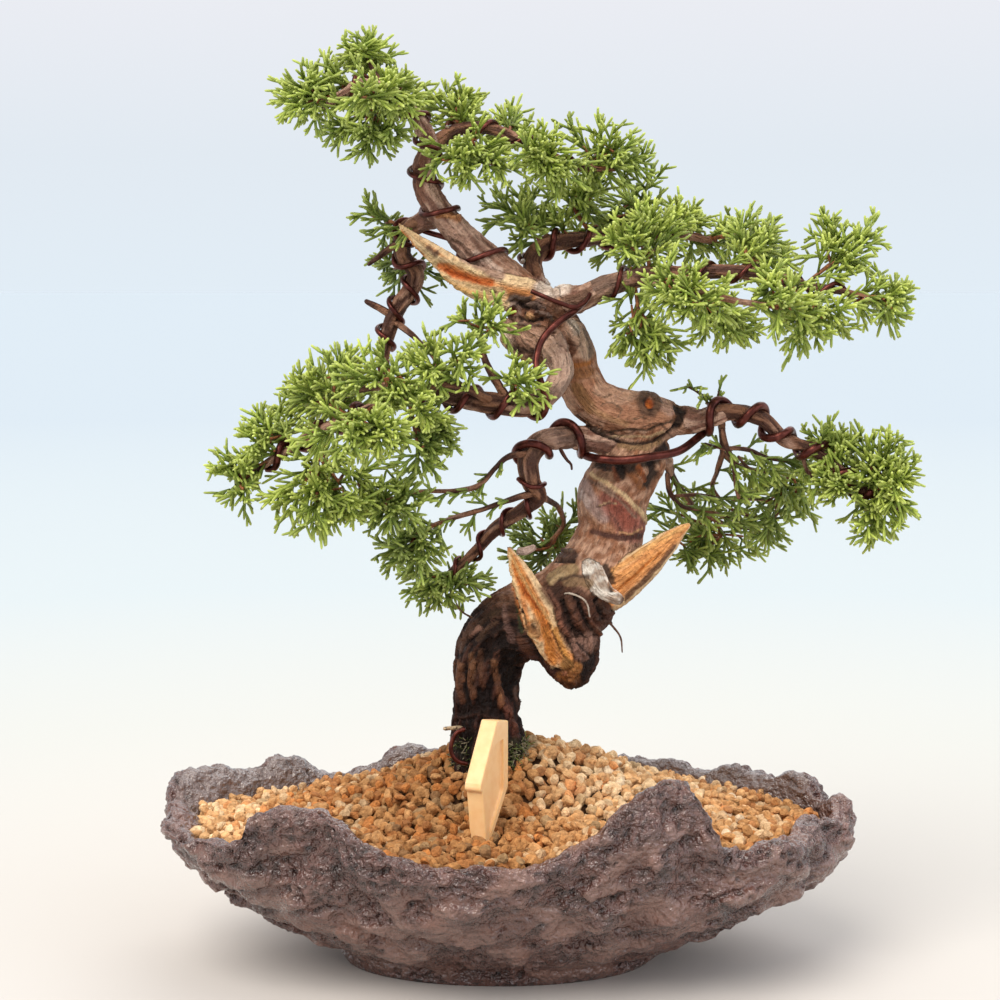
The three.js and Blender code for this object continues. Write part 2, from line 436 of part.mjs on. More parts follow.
// ---- foliage ----
// Each spray springs from a limb at a share of its length and reaches its tips, in millimetres.
const SPRAYS = {
  spray_crown_tip: {
    on: 'trunk_high', at: 0.965,
    tips: [[-93, -10, 368], [-84, -8, 381], [-78, -26, 362], [-84, 14, 372], [-71, 10, 387]],
  },
  spray_crown_under: { on: 'trunk_high', at: 0.9, tips: [[-57, -16, 344], [-70, -18, 354], [-42, -24, 354]] },
  spray_crown_top: { on: 'crown_top', at: 0.75, tips: [[-56, 6, 397], [-66, 0, 392], [-45, 8, 386]] },
  spray_crown_front: { on: 'trunk_high', at: 0.87, tips: [[-46, -36, 372], [-61, -46, 365], [-34, -26, 364]] },
  spray_crown_back: { on: 'trunk_high', at: 0.84, tips: [[-46, 32, 377], [-63, 40, 374], [-32, 34, 368]] },
  spray_peak_left: { on: 'crown_right', at: 0.25, tips: [[-32, 14, 372], [-14, 8, 377], [-12, 36, 364]] },
  spray_peak_mid: { on: 'crown_right', at: 0.45, tips: [[4, 18, 366], [14, 44, 356], [-4, 52, 360]] },
  spray_peak_tip: { on: 'crown_right', at: 0.88, tips: [[42, 32, 352], [66, 12, 345], [28, 16, 363], [56, 0, 351]] },
  spray_peak_under: { on: 'crown_right', at: 0.3, tips: [[-14, -29, 337], [-30, -24, 340], [3, -24, 338]] },
  spray_peak_low: { on: 'crown_right', at: 0.6, tips: [[20, -18, 340], [35, -8, 336], [10, -32, 348]] },
  spray_high_outer: { on: 'high_left', at: 0.22, tips: [[-62, 12, 325], [-54, 28, 316]] },
  spray_high_inner: { on: 'high_left', at: 0.4, tips: [[-54, 34, 300], [-38, 40, 288], [-28, 36, 298]] },
  spray_arch_left: { on: 'back_high', at: 0.36, tips: [[-4, 20, 330], [8, 4, 316], [14, 44, 334]] },
  spray_arch_top: { on: 'back_high', at: 0.5, tips: [[22, 28, 340], [42, 22, 338], [32, 52, 332]] },
  spray_arch_twig: {
    on: 'back_high', at: 0.64, tips: [[65, 22, 342], [56, 54, 332], [50, 74, 308], [32, 66, 312], [66, 66, 298]],
  },
  spray_back_mid: { on: 'back_high', at: 0.82, tips: [[84, 26, 325], [96, 70, 309], [74, 70, 318]] },
  spray_back_end: { on: 'back_high', at: 0.96, tips: [[119, 30, 315], [130, 60, 303], [110, 70, 308]] },
  spray_right_tip: { on: 'right_high', at: 0.97, tips: [[172, -10, 287], [164, -26, 279], [168, 10, 292]] },
  spray_right_top: { on: 'right_high', at: 0.78, tips: [[163, 6, 316], [140, 14, 321], [150, -10, 304]] },
  spray_right_under: { on: 'right_high', at: 0.72, tips: [[142, -36, 277], [122, -42, 269], [146, -12, 272]] },
  spray_right_mid: { on: 'right_high', at: 0.58, tips: [[118, 12, 314], [102, 16, 321], [126, 20, 300]] },
  spray_right_low: { on: 'right_high', at: 0.45, tips: [[98, -28, 267], [84, -14, 270], [108, -8, 272]] },
  spray_right_hang: { on: 'right_high', at: 0.28, tips: [[62, -18, 259], [48, -14, 268], [74, -16, 263]] },
  spray_right_near: { on: 'right_high', at: 0.33, tips: [[60, -10, 323], [78, 6, 319], [44, -28, 312]] },
  spray_front_near: { on: 'right_front', at: 0.5, tips: [[72, -58, 284], [90, -68, 282], [62, -48, 297]] },
  spray_front_end: { on: 'right_front', at: 0.95, tips: [[127, -52, 280], [112, -70, 285], [106, -40, 300]] },
  spray_tuft_top: { on: 'left_tuft', at: 0.9, tips: [[-7, -20, 286], [-23, -26, 278], [2, -38, 276]] },
  spray_tuft_side: { on: 'left_mid', at: 0.32, tips: [[18, -44, 264], [21, -48, 246], [4, -54, 258]] },
  spray_tuft_left: { on: 'left_front', at: 0.3, tips: [[-31, -36, 269], [-12, -58, 266], [-32, -62, 257]] },
  spray_left_tip: { on: 'left_mid', at: 0.96, tips: [[-114, -44, 206], [-112, -32, 223], [-104, -54, 203]] },
  spray_left_upper: { on: 'left_mid', at: 0.84, tips: [[-103, -28, 237], [-98, -12, 234], [-104, -48, 226]] },
  spray_left_top: { on: 'left_mid', at: 0.7, tips: [[-84, -30, 252], [-66, -34, 265], [-88, -16, 246]] },
  spray_left_under: {
    on: 'left_mid', at: 0.74, tips: [[-87, -58, 196], [-74, -70, 194], [-94, -44, 202], [-56, -60, 200], [-46, -46, 208]],
  },
  spray_left_inner: { on: 'left_mid', at: 0.56, tips: [[-32, -56, 215], [-17, -48, 228], [-24, -32, 222]] },
  spray_left_front: { on: 'left_front', at: 0.85, tips: [[-76, -86, 229], [-58, -97, 229], [-38, -92, 234]] },
  spray_left_crest: { on: 'left_front', at: 0.6, tips: [[-51, -42, 265], [-62, -66, 254], [-28, -76, 240]] },
  spray_left_back: {
    on: 'left_back', at: 0.7, tips: [[-98, 10, 236], [-84, 28, 238], [-66, 32, 244], [-52, 22, 240], [-62, -10, 263]],
  },
  spray_low_left: { on: 'left_twig_high', at: 0.9, tips: [[-57, -34, 195], [-52, -50, 206], [-36, -54, 200]] },
  spray_low_outer: { on: 'left_twig_low', at: 0.85, tips: [[-51, -26, 179], [-42, -38, 176], [-28, -36, 180]] },
  spray_low_tip: { on: 'left_low', at: 0.9, tips: [[-36, -8, 160], [-22, -10, 154], [-42, 2, 168], [-6, 2, 162]] },
  spray_behind: { on: 'back_low', at: 0.8, tips: [[16, 48, 159], [2, 38, 170], [36, 52, 172], [39, 44, 195], [10, 52, 186]] },
  spray_hang_end: {
    on: 'right_hang_side', at: 0.88,
    tips: [[138, 34, 213], [134, 22, 197], [135, 50, 190], [120, 56, 178], [116, 36, 176]],
  },
  spray_hang_low: {
    on: 'back_right', at: 0.75, tips: [[112, 70, 166], [128, 74, 174], [96, 76, 172], [70, 52, 176], [64, 54, 195], [84, 56, 164]],
  },
  spray_low_right: {
    on: 'right_low', at: 0.86,
    tips: [[174, -10, 220], [170, -24, 197], [164, -30, 208], [168, -4, 230], [152, -4, 230], [155, -17, 183]],
  },
};

// What is already grown, as straight stretches, so that a new shoot keeps clear of it.
const grown = [];

function record(route, node, count) {
  const line = stations(route, count);
  for (let i = 0; i < count; i++) {
    const [from, to] = [line[i], line[i + 1]];
    grown.push({ a: from.point, b: to.point, radius: Math.max(from.radius, to.radius), node });
  }
}

// The shortest way between two straight stretches, found by sliding along each in turn.
function apart(p, q, a, b) {
  const [first, second] = [new THREE.Line3(p, q), new THREE.Line3(a, b)];
  const [near, far] = [new THREE.Vector3(), second.getCenter(new THREE.Vector3())];
  for (let pass = 0; pass < 6; pass++) {
    first.closestPointToPoint(far, true, near);
    second.closestPointToPoint(near, true, far);
  }
  return near.distanceTo(far);
}

// Whether a stretch is clear of all but its own node and the one it leaves.
const clear = (p, q, radius, node, leaving) =>
  grown.every((s) => s.node === node || s.node === leaving || apart(p, q, s.a, s.b) > radius + s.radius + GAP + 0.1);

// One cord of scale leaves: a three-sided spindle, thickest a third of the way along.
function cordOfLeaves(from, along, length) {
  const outline = [new THREE.Vector2(0, 0), new THREE.Vector2(CORD.radius, length / 3), new THREE.Vector2(0, length)];
  const spindle = new THREE.LatheGeometry(outline, 3);
  spindle.applyQuaternion(new THREE.Quaternion().setFromUnitVectors(new THREE.Vector3(0, 1, 0), along));
  return solidOf(spindle.translate(from.x, from.y, from.z));
}

// A stem from one place to a tip, bowed one way or another until it is clear of what is grown.
function stemRoute(start, tip, taper, node, random) {
  const reach = tip.clone().sub(start);
  for (let tries = 0; tries < 60; tries++) {
    const swing = new THREE.Vector3(random() - 0.5, random() - 0.5, random() * 0.6 - 0.1);
    const middle = start.clone().lerp(tip, 0.5).addScaledVector(swing, reach.length() * (0.12 + 0.015 * tries));
    const from = start.clone().lerp(middle, 0.5);
    const stretches = [[start, from, 'wood'], [from, middle], [middle, tip]];
    if (stretches.every(([p, q, leaving]) => clear(p, q, STEM_RADIUS, node, leaving))) {
      return [start, middle, tip].map((p, i) => [p.x, p.y, p.z, STEM_RADIUS * taper[i]]);
    }
  }
  return null;
}

// Each stem tapers to its tip, with a cord of leaves to either side; the others spring from the first.
function spray(name, { on, at, tips }, index) {
  const random = seeded(100 + index);
  const root = stations(LIMBS[on], 100)[Math.round(at * 100)].point;
  const solids = [];
  let start = root;
  for (const tip of tips) {
    const taper = start === root ? [1, 0.9, 0] : [0.4, 0.85, 0]; // a side shoot starts inside its stem
    const route = stemRoute(start, vector(tip), taper, name, random);
    if (!route) continue;
    solids.push(limb(route, { sides: 3, ring: 19 }));
    record(route, name, 4);
    const line = stations(route, 20);
    const turn = 6.3 * random();
    for (const share of start === root ? [0.45, 0.7] : [0.6]) {
      const { point, tangent, front, side } = line[20 * share];
      const around = turn + (share > 0.5 ? Math.PI : 0);
      const along = tangent
        .clone()
        .addScaledVector(front, 0.8 * Math.cos(around))
        .addScaledVector(side, 0.8 * Math.sin(around))
        .normalize();
      const length = CORD.length * (0.8 + 0.4 * random());
      const end = point.clone().addScaledVector(along, length);
      if (!clear(point.clone().addScaledVector(along, 1), end, CORD.radius, name)) continue;
      solids.push(cordOfLeaves(point.clone().addScaledVector(along, -0.3), along, length));
      grown.push({ a: point, b: end, radius: CORD.radius, node: name });
    }
    if (start === root) start = line[7].point;
  }
  return joined(solids);
}

// ---- the parts put together ----
const matt = (color, roughness = 0.85) => new THREE.MeshStandardMaterial({ color, roughness, metalness: 0 });
const MATERIALS = {
  stoneware: matt('#5d4c49', 0.45),
  gravel: matt('#a8733f', 0.95),
  bark: matt('#7a5a45', 0.85),
  foliage: matt('#7f9a3c', 0.6),
  wire: new THREE.MeshStandardMaterial({ color: '#5a2f28', roughness: 0.35, metalness: 0.8 }),
  label: matt('#f3d9a0', 0.5),
  mesh: matt('#1f2022', 0.7),
};

const bonsai = new THREE.Group();

function add(name, solid, material) {
  const mesh = new THREE.Mesh(geometryOf(solid), material);
  mesh.name = name;
  bonsai.add(mesh);
}

for (const route of [...Object.values(LIMBS), ...Object.values(SPLINTERS)]) {
  record(route, 'wood', Math.ceil(lengthOf(route) / 6));
}
for (const [name, route] of Object.entries(WIRES)) record(route, name, route.length - 1);

const woodClear = wood(GAP);
const wireClear = joined(Object.keys(WIRES).map((name) => wire(name, GAP)));
const { side: pocketSide, thick: pocketThick } = DRAIN_MESH;
const pockets = [-DRAIN.x, DRAIN.x].map((x) =>
  boxAt(x, 0, FLOOR_TOP, pocketSide + 2 * GAP, pocketSide + 2 * GAP, 2 * (pocketThick + 2 * GAP)));

add('bowl', bowl(), MATERIALS.stoneware);
add('drain_mesh_left', drainMesh(-DRAIN.x), MATERIALS.mesh);
add('drain_mesh_right', drainMesh(DRAIN.x), MATERIALS.mesh);
add('gravel', soil([woodClear, wireClear, label(GAP), ...pockets]), MATERIALS.gravel);
add('wood', wood(), MATERIALS.bark);
for (const name of Object.keys(WIRES)) add(name, wire(name), MATERIALS.wire);
add('label', label(), MATERIALS.label);
Object.entries(SPRAYS).forEach(([name, plan], index) => {
  add(name, largest(spray(name, plan, index).subtract(woodClear).subtract(wireClear)), MATERIALS.foliage);
});

export default bonsai;
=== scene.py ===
import bpy
import numpy as np
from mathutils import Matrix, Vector, noise


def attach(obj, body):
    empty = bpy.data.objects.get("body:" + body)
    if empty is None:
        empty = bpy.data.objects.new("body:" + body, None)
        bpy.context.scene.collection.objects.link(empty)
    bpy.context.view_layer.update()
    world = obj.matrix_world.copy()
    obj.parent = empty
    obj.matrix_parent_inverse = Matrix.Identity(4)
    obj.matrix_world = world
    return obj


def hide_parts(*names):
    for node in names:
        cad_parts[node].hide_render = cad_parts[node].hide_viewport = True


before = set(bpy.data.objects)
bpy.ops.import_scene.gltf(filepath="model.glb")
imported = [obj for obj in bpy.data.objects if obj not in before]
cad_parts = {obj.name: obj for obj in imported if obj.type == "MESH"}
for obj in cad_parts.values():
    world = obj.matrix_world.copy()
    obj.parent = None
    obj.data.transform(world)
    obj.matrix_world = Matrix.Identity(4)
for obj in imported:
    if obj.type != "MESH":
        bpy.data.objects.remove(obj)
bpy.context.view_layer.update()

MM = 0.001
TURN = 2 * np.pi
WELD = 1e-6  # metres within which a grid's seam and poles close

# ---- camera: the photograph's frame is 1000 by 1000, seen from a little above the rim ----
FRAME_PX = 1000
FOCAL_PX = 2200  # the focal length in pixels of that frame
EYE = np.array([0.0, -941.6, 291.3])
TARGET = np.array([0.0, 0.0, 200.6])
SENSOR = 36


def place_camera():
    bpy.ops.object.camera_add(location=EYE * MM)
    camera = bpy.context.object
    camera.data.sensor_width = SENSOR
    camera.data.lens = SENSOR * FOCAL_PX / FRAME_PX
    camera.rotation_euler = Vector(TARGET - EYE).to_track_quat("-Z", "Y").to_euler()
    bpy.context.scene.camera = camera


place_camera()
FORWARD = (TARGET - EYE) / np.linalg.norm(TARGET - EYE)
RIGHT = np.array([1.0, 0.0, 0.0])
UPWARD = np.cross(RIGHT, FORWARD)


def as_seen(points):
    """Where points fall in the photograph's frame, in pixels, and how deep they lie."""
    past = points - EYE
    depth = past @ FORWARD
    across = FRAME_PX / 2 + FOCAL_PX * (past @ RIGHT) / depth
    down = FRAME_PX / 2 - FOCAL_PX * (past @ UPWARD) / depth
    return np.stack([across, down], axis=1), depth


def seen_at(across, down, y):
    """The place at that Y, in millimetres, which falls on a pixel of the photograph's frame."""
    ray = FORWARD + RIGHT * (across - FRAME_PX / 2) / FOCAL_PX + UPWARD * (FRAME_PX / 2 - down) / FOCAL_PX
    return EYE + ray * (y - EYE[1]) / ray[1]


# ---- small helpers ----
def smooth(x, low, high):
    share = np.clip((x - low) / (high - low), 0, 1)
    return share * share * (3 - 2 * share)


def unit(v):
    return v / np.maximum(np.linalg.norm(v, axis=-1, keepdims=True), 1e-12)


def rough(points, size, octaves=3, seed=0.0):
    """Even-handed noise, about -1 to 1, with lumps of that many millimetres."""
    spots = (np.asarray(points).reshape(-1, 3) / size + seed * 17.3).tolist()
    read = noise.noise if octaves == 1 else lambda p: noise.fractal(p, 1.0, 2.0, octaves)
    return np.array([read(p) for p in spots]).reshape(np.shape(points)[:-1])


def pits(points, size, seed=0.0):
    """How far each point is from the middle of its own cell, 0 at the middle and about 1 at its edge."""
    spots = (np.asarray(points).reshape(-1, 3) / size + seed * 9.1).tolist()
    return np.array([noise.voronoi(p)[0][0] for p in spots]).reshape(np.shape(points)[:-1])


def linear(colour):
    """An sRGB hex colour as linear red, green, blue and alpha."""
    parts = np.array([int(colour[i : i + 2], 16) for i in (1, 3, 5)]) / 255
    straight = np.where(parts <= 0.04045, parts / 12.92, ((parts + 0.055) / 1.055) ** 2.4)
    return (*straight.tolist(), 1.0)


def deselect():
    bpy.ops.object.select_all(action="DESELECT")


def select_only(piece):
    deselect()
    piece.select_set(True)
    bpy.context.view_layer.objects.active = piece


def keep(mesh, name, values):
    """Stores numbers, vectors or colours on a mesh's points under a name that its material reads."""
    values = np.asarray(values, np.float32)
    width = 1 if values.ndim == 1 else values.shape[1]
    kind, key = {1: ("FLOAT", "value"), 3: ("FLOAT_VECTOR", "vector"), 4: ("FLOAT_COLOR", "color")}[width]
    mesh.attributes.new(name, kind, "POINT").data.foreach_set(key, values.ravel())


def points_of(piece):
    """A piece's points in millimetres."""
    flat = np.empty(3 * len(piece.data.vertices), np.float32)
    piece.data.vertices.foreach_get("co", flat)
    return flat.reshape(-1, 3).astype(float) / MM


def put_points(piece, points):
    piece.data.vertices.foreach_set("co", (points * MM).astype(np.float32).ravel())
    piece.data.update()


def facings_of(piece):
    flat = np.empty(3 * len(piece.data.vertices), np.float32)
    piece.data.vertex_normals.foreach_get("vector", flat)
    return flat.reshape(-1, 3).astype(float)


def start_edit():
    bpy.ops.object.mode_set(mode="EDIT")
    bpy.ops.mesh.select_all(action="SELECT")


def end_edit():
    """Turns every face of the piece in edit mode outwards, and ends the editing."""
    bpy.ops.mesh.select_all(action="SELECT")
    bpy.ops.mesh.normals_make_consistent(inside=False)
    bpy.ops.object.mode_set(mode="OBJECT")


def lay(name, rows, **fields):
    """A grid laid on rows of points that run round a form, closed all over, with a pole at each end.

    fields are numbers or vectors for each point, kept on the mesh."""
    rows = np.concatenate([rows, rows[:, :1]], axis=1)
    down, across = rows.shape[0] - 1, rows.shape[1] - 1
    deselect()
    bpy.ops.mesh.primitive_grid_add(x_subdivisions=across, y_subdivisions=down, size=2)
    piece = bpy.context.object
    piece.name = piece.data.name = name
    piece.data.vertices.foreach_set("co", (rows * MM).astype(np.float32).ravel())
    for field, values in fields.items():
        values = np.concatenate([values, values[:, :1]], axis=1)
        keep(piece.data, field, values.reshape(-1, *values.shape[2:]))
    start_edit()
    bpy.ops.mesh.remove_doubles(threshold=WELD)
    end_edit()
    bpy.ops.object.shade_smooth()
    return piece


def gathered(name, points, faces, **fields):
    """One mesh from many copies of a modelled shape, all laid out by their points."""
    mesh = bpy.data.meshes.new(name)
    mesh.from_pydata((points * MM).tolist(), [], faces)
    for field, values in fields.items():
        keep(mesh, field, values)
    piece = bpy.data.objects.new(name, mesh)
    bpy.context.collection.objects.link(piece)
    select_only(piece)
    bpy.ops.object.shade_smooth()
    return piece


def shape_of(piece):
    """A modelled shape's points and faces, which are then copied many times. The shape itself goes."""
    points = points_of(piece)
    faces = [list(p.vertices) for p in piece.data.polygons]
    bpy.data.objects.remove(piece)
    return points, faces


def settle(piece, slot, *nodes):
    """The piece rides on the body and stands for its nodes, whose solids it hides; the slot is not used."""
    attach(piece, "root")
    if nodes:
        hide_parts(*nodes)


def node(tree, kind, inputs=(), stops=(), **settings):
    """Adds a shader node with its settings, its inputs' values or links, and a ramp's stops."""
    made = tree.nodes.new("ShaderNode" + kind)
    for key, value in settings.items():
        setattr(made, key, value)
    for socket, value in dict(inputs).items():
        if isinstance(value, bpy.types.NodeSocket):
            tree.links.new(value, made.inputs[socket])
        else:
            made.inputs[socket].default_value = value
    for i, (at, colour) in enumerate(stops):
        stop = made.color_ramp.elements[i] if i < 2 else made.color_ramp.elements.new(at)
        stop.position, stop.color = at, linear(colour)
    return made


def finish_of(name, **sockets):
    """A new material, with its node tree and its shader, whose own sockets are set by name."""
    made = bpy.data.materials.new(name)
    made.use_nodes = True
    shader = made.node_tree.nodes["Principled BSDF"]
    for socket, value in sockets.items():
        shader.inputs[socket.replace("_", " ")].default_value = value
    return made, made.node_tree, shader


# ---- bowl: the same rock-like form as its solid, with the torn and pitted surface of the clay ----
HALF_LENGTH, HALF_DEPTH, RIM_HEIGHT, WALL = 150, 99, 64, 9
MEAN_REACH = 125  # between half the length and half the depth
FLAT_X, FLAT_Y = 66, 44  # half the flat under the foot
RIM_TILT = 3.5
# each lobe of the rim: bearing in degrees, height, and how far it reaches before and after that bearing
RIM_LOBES = [
    (299, 29, 13, 7), (232, 17, 7, 17), (183, 5, 10, 12), (158, 12, 12, 10), (134, 12, 9, 14),
    (104, 14, 14, 13), (60, 11, 10, 12), (38, 11, 11, 10), (20, 12, 7, 7), (2, 5, 9, 8), (268, -2, 14, 14),
    (340, 3, 9, 9),
]
# millimetres high, how many round the rim, phase
RIM_RIPPLES = [(0.9, 17, 0), (0.7, 27, 1)]
# waves of the wall: millimetres out, how many round it, how far they turn from foot to rim, phase
WALL_SWELLS = [(1.5, 9, 7, 0), (1.2, 14, -11, 1), (0.9, 23, 17, 2)]
UPRIGHT_FROM = 0.93  # the waves run straight up from this share of the height
# lumps of the plan: share of the outline, how many round it, phase
PLAN_LUMPS = [(0.012, 3, 0.5), (0.02, 7, 1), (0.012, 11, 2)]
RIGHT_BELLY, LEFT_BELLY = 0.12, 0.02  # how much fuller the wall is at either end
# share of the rim's outline, millimetres in from it, share of the height
BOWL_OUTSIDE = [
    (0, 0, 0), (0.44, 0, 0), (0.46, 0, 0.06), (0.45, 0, 0.12), (0.56, 0, 0.2), (0.68, 0, 0.36),
    (0.8, 0, 0.54), (0.9, 0, 0.71), (0.96, 0, 0.86), (0.985, 0, 0.96), (0.98, 2.5, 1),
]
BOWL_INSIDE = [
    (0.975, 7.5, 0.99), (0.96, WALL, 0.93), (0.9, WALL, 0.77), (0.78, WALL, 0.59), (0.64, WALL, 0.42),
    (0.46, 7, 0.22), (0.3, 0, 0.16), (0, 0, 0.16),
]
BOWL_AROUND = 640
BOWL_ROW_GAP = 1.15  # millimetres between rows of points where the bowl shows
FOOT_ROWS, FLOOR_ROWS = 8, 12
# the clay's marks: how wide each kind is, and how far it stands out or goes in, in millimetres
LUMP_WIDE, LUMP_OUT = 19, 1.1
SLAB_WIDE, SLAB_OUT = 11, 0.6
TEAR_WIDE = 21
WRINKLE_WIDE, WRINKLE_OUT = 6.5, 0.95
HOLE_WIDE, HOLE_IN = 4.2, 1.5
KNOB_WIDE, KNOB_OUT = 5.2, 0.9
CRUMB_WIDE, CRUMB_OUT = 3.2, 0.45


def rim_height(bearing):
    degrees = np.degrees(bearing)
    height = RIM_HEIGHT - RIM_TILT * np.sin(bearing)
    for high, count, phase in RIM_RIPPLES:
        height = height + high * np.sin(count * bearing + phase)
    for at, high, before, after in RIM_LOBES:
        past = (degrees - at + 180) % 360 - 180
        height = height + high * np.exp(-np.abs(past / np.where(past < 0, before, after)) ** 3)
    return height


def bowl_at(bearing, share, inset, high):
    """Points of the bowl, as its solid has them. The arguments are arrays of one shape."""
    cos, sin = np.cos(bearing), np.sin(bearing)
    across = unit(np.stack([cos / HALF_LENGTH, sin / HALF_DEPTH], axis=-1))
    off_axis = np.minimum(1, 3 * share)
    raised = smooth(high, 0.5, 1) * off_axis
    h = np.minimum(high, UPRIGHT_FROM)
    swells = sum(
        out * np.sin(count * bearing + climb * h + phase) for out, count, climb, phase in WALL_SWELLS
    )
    ledges = 1.7 * np.sin(19 * bearing - 23 * h + 2 * np.sin(5 * bearing))
    ledges += 1.3 * np.sin(31 * bearing + 15 * h)
    crag = swells + ledges * np.sin(np.pi * h)
    crag = crag * np.clip((high - 0.1) * 4, 0, 1) * np.where(inset > 0, 0.5, 1)
    middle = np.sin(np.pi * np.clip(high, 0, 1))
    belly = 1 + RIGHT_BELLY * np.maximum(0, cos) * middle + LEFT_BELLY * np.maximum(0, -cos)
    lump = sum(wide * np.sin(count * bearing + phase) for wide, count, phase in PLAN_LUMPS)
    reach = belly * (1 + lump * smooth(high, 0.05, 0.8))
    z = high * RIM_HEIGHT + (rim_height(bearing) - RIM_HEIGHT) * raised
    out = (crag - inset) * off_axis
    x = HALF_LENGTH * share * reach * cos + out * across[..., 0]
    y = HALF_DEPTH * share * reach * sin + out * across[..., 1]
    return np.stack([x, y, z], axis=-1)


def bowl_profile():
    """The profile from the middle of the foot, over the rim, to the middle of the floor."""
    corners = np.array(BOWL_OUTSIDE + BOWL_INSIDE, float)
    steps = np.hypot(np.diff(corners[:, 0]) * MEAN_REACH, np.diff(corners[:, 2]) * RIM_HEIGHT)
    steps += np.abs(np.diff(corners[:, 1]))
    run = np.concatenate([[0], np.cumsum(steps)])
    edge, covered = run[1], run[len(BOWL_OUTSIDE) + 3]  # the foot's edge, and just under the gravel
    places = np.concatenate([
        np.linspace(0, edge, FOOT_ROWS)[:-1],
        np.arange(edge, covered, BOWL_ROW_GAP),
        np.linspace(covered, run[-1], FLOOR_ROWS),
    ])
    fine = np.stack([np.interp(places, run, corners[:, i]) for i in range(3)], axis=1)
    for _ in range(6):  # rounds the corners between the straight stretches
        fine[8:-6] = 0.25 * fine[7:-7] + 0.5 * fine[8:-6] + 0.25 * fine[9:-5]
    return fine


def shakes(points, size, seed):
    """Noise along each axis, which a pattern is moved by so that it doesn't look even."""
    return np.stack([rough(points, size, 2, seed + axis) for axis in range(3)], axis=1)


def make_bowl():
    profile = bowl_profile()
    bearing = np.linspace(0, TURN, BOWL_AROUND, endpoint=False)
    grid = [np.repeat(profile[:, [i]], BOWL_AROUND, axis=1) for i in range(3)]
    piece = lay("bowl_stoneware", bowl_at(np.tile(bearing, (len(profile), 1)), *grid))
    points, facing = points_of(piece), facings_of(piece)
    # the flat under the foot stays flat, and the clay is worked less on the inside
    outside = smooth(np.hypot(points[:, 0] / FLAT_X, points[:, 1] / FLAT_Y), 0.97, 1.04)
    outside *= smooth(points[:, 2], 0.3, 5)
    inner = (facing[:, 0] * points[:, 0] + facing[:, 1] * points[:, 1] < 0) & (points[:, 2] > 20)
    worked = np.where(inner, 0.7, 1)
    near_rim = smooth(points[:, 2], 46, 66)
    shaken = points + 3 * shakes(points, 14, 1)
    layered = shaken * [0.55, 0.55, 1.35]  # the clay tears in strips that lie along the bowl
    lumps = rough(shaken, LUMP_WIDE, 3, 4)
    slabs = 2 * smooth(rough(layered, SLAB_WIDE, 3, 5), -0.2, 0.22) - 1  # flat slabs with steps between them
    torn = smooth(rough(shaken, TEAR_WIDE, 3, 7) + 0.55 * near_rim - 0.25 * slabs, -0.12, 0.22)
    torn *= np.where(inner, 0.35, 1)
    wrinkles = 0.5 - np.abs(rough(shaken * [0.8, 0.8, 1.1], WRINKLE_WIDE, 3, 9)) * 2.2
    cell = pits(shaken * [0.85, 0.85, 1.15], HOLE_WIDE, 6)
    holes = (1 - smooth(cell, 0.1, 0.5)) * np.maximum(torn, smooth(rough(points, 9, 2, 8), 0.15, 0.5))
    knobs = 0.5 - pits(points + 1.5 * shakes(points, 6, 12), KNOB_WIDE, 15)
    rise = LUMP_OUT * lumps + SLAB_OUT * slabs + torn * (WRINKLE_OUT * wrinkles - 0.5)
    rise -= HOLE_IN * holes
    rise += CRUMB_OUT * rough(points, CRUMB_WIDE, 3, 11)
    rise += (KNOB_OUT + 0.8 * near_rim) * knobs + near_rim * 1.3 * rough(points, 8, 3, 10)
    put_points(piece, points + facing * (outside * worked * rise)[:, None])
    keep(piece.data, "pit", np.clip(holes * 0.75 + torn * smooth(-wrinkles, 0.0, 0.6) * 0.4, 0, 1) * worked)
    keep(piece.data, "torn", torn)
    keep(piece.data, "raised", 0.55 * smooth(slabs + 0.8 * lumps, 0.2, 1.2) * (1 - torn))
    keep(piece.data, "inner", inner * smooth(points[:, 1], -10, 40))
    piece.data.materials.append(stoneware())
    settle(piece, "stoneware", "bowl")


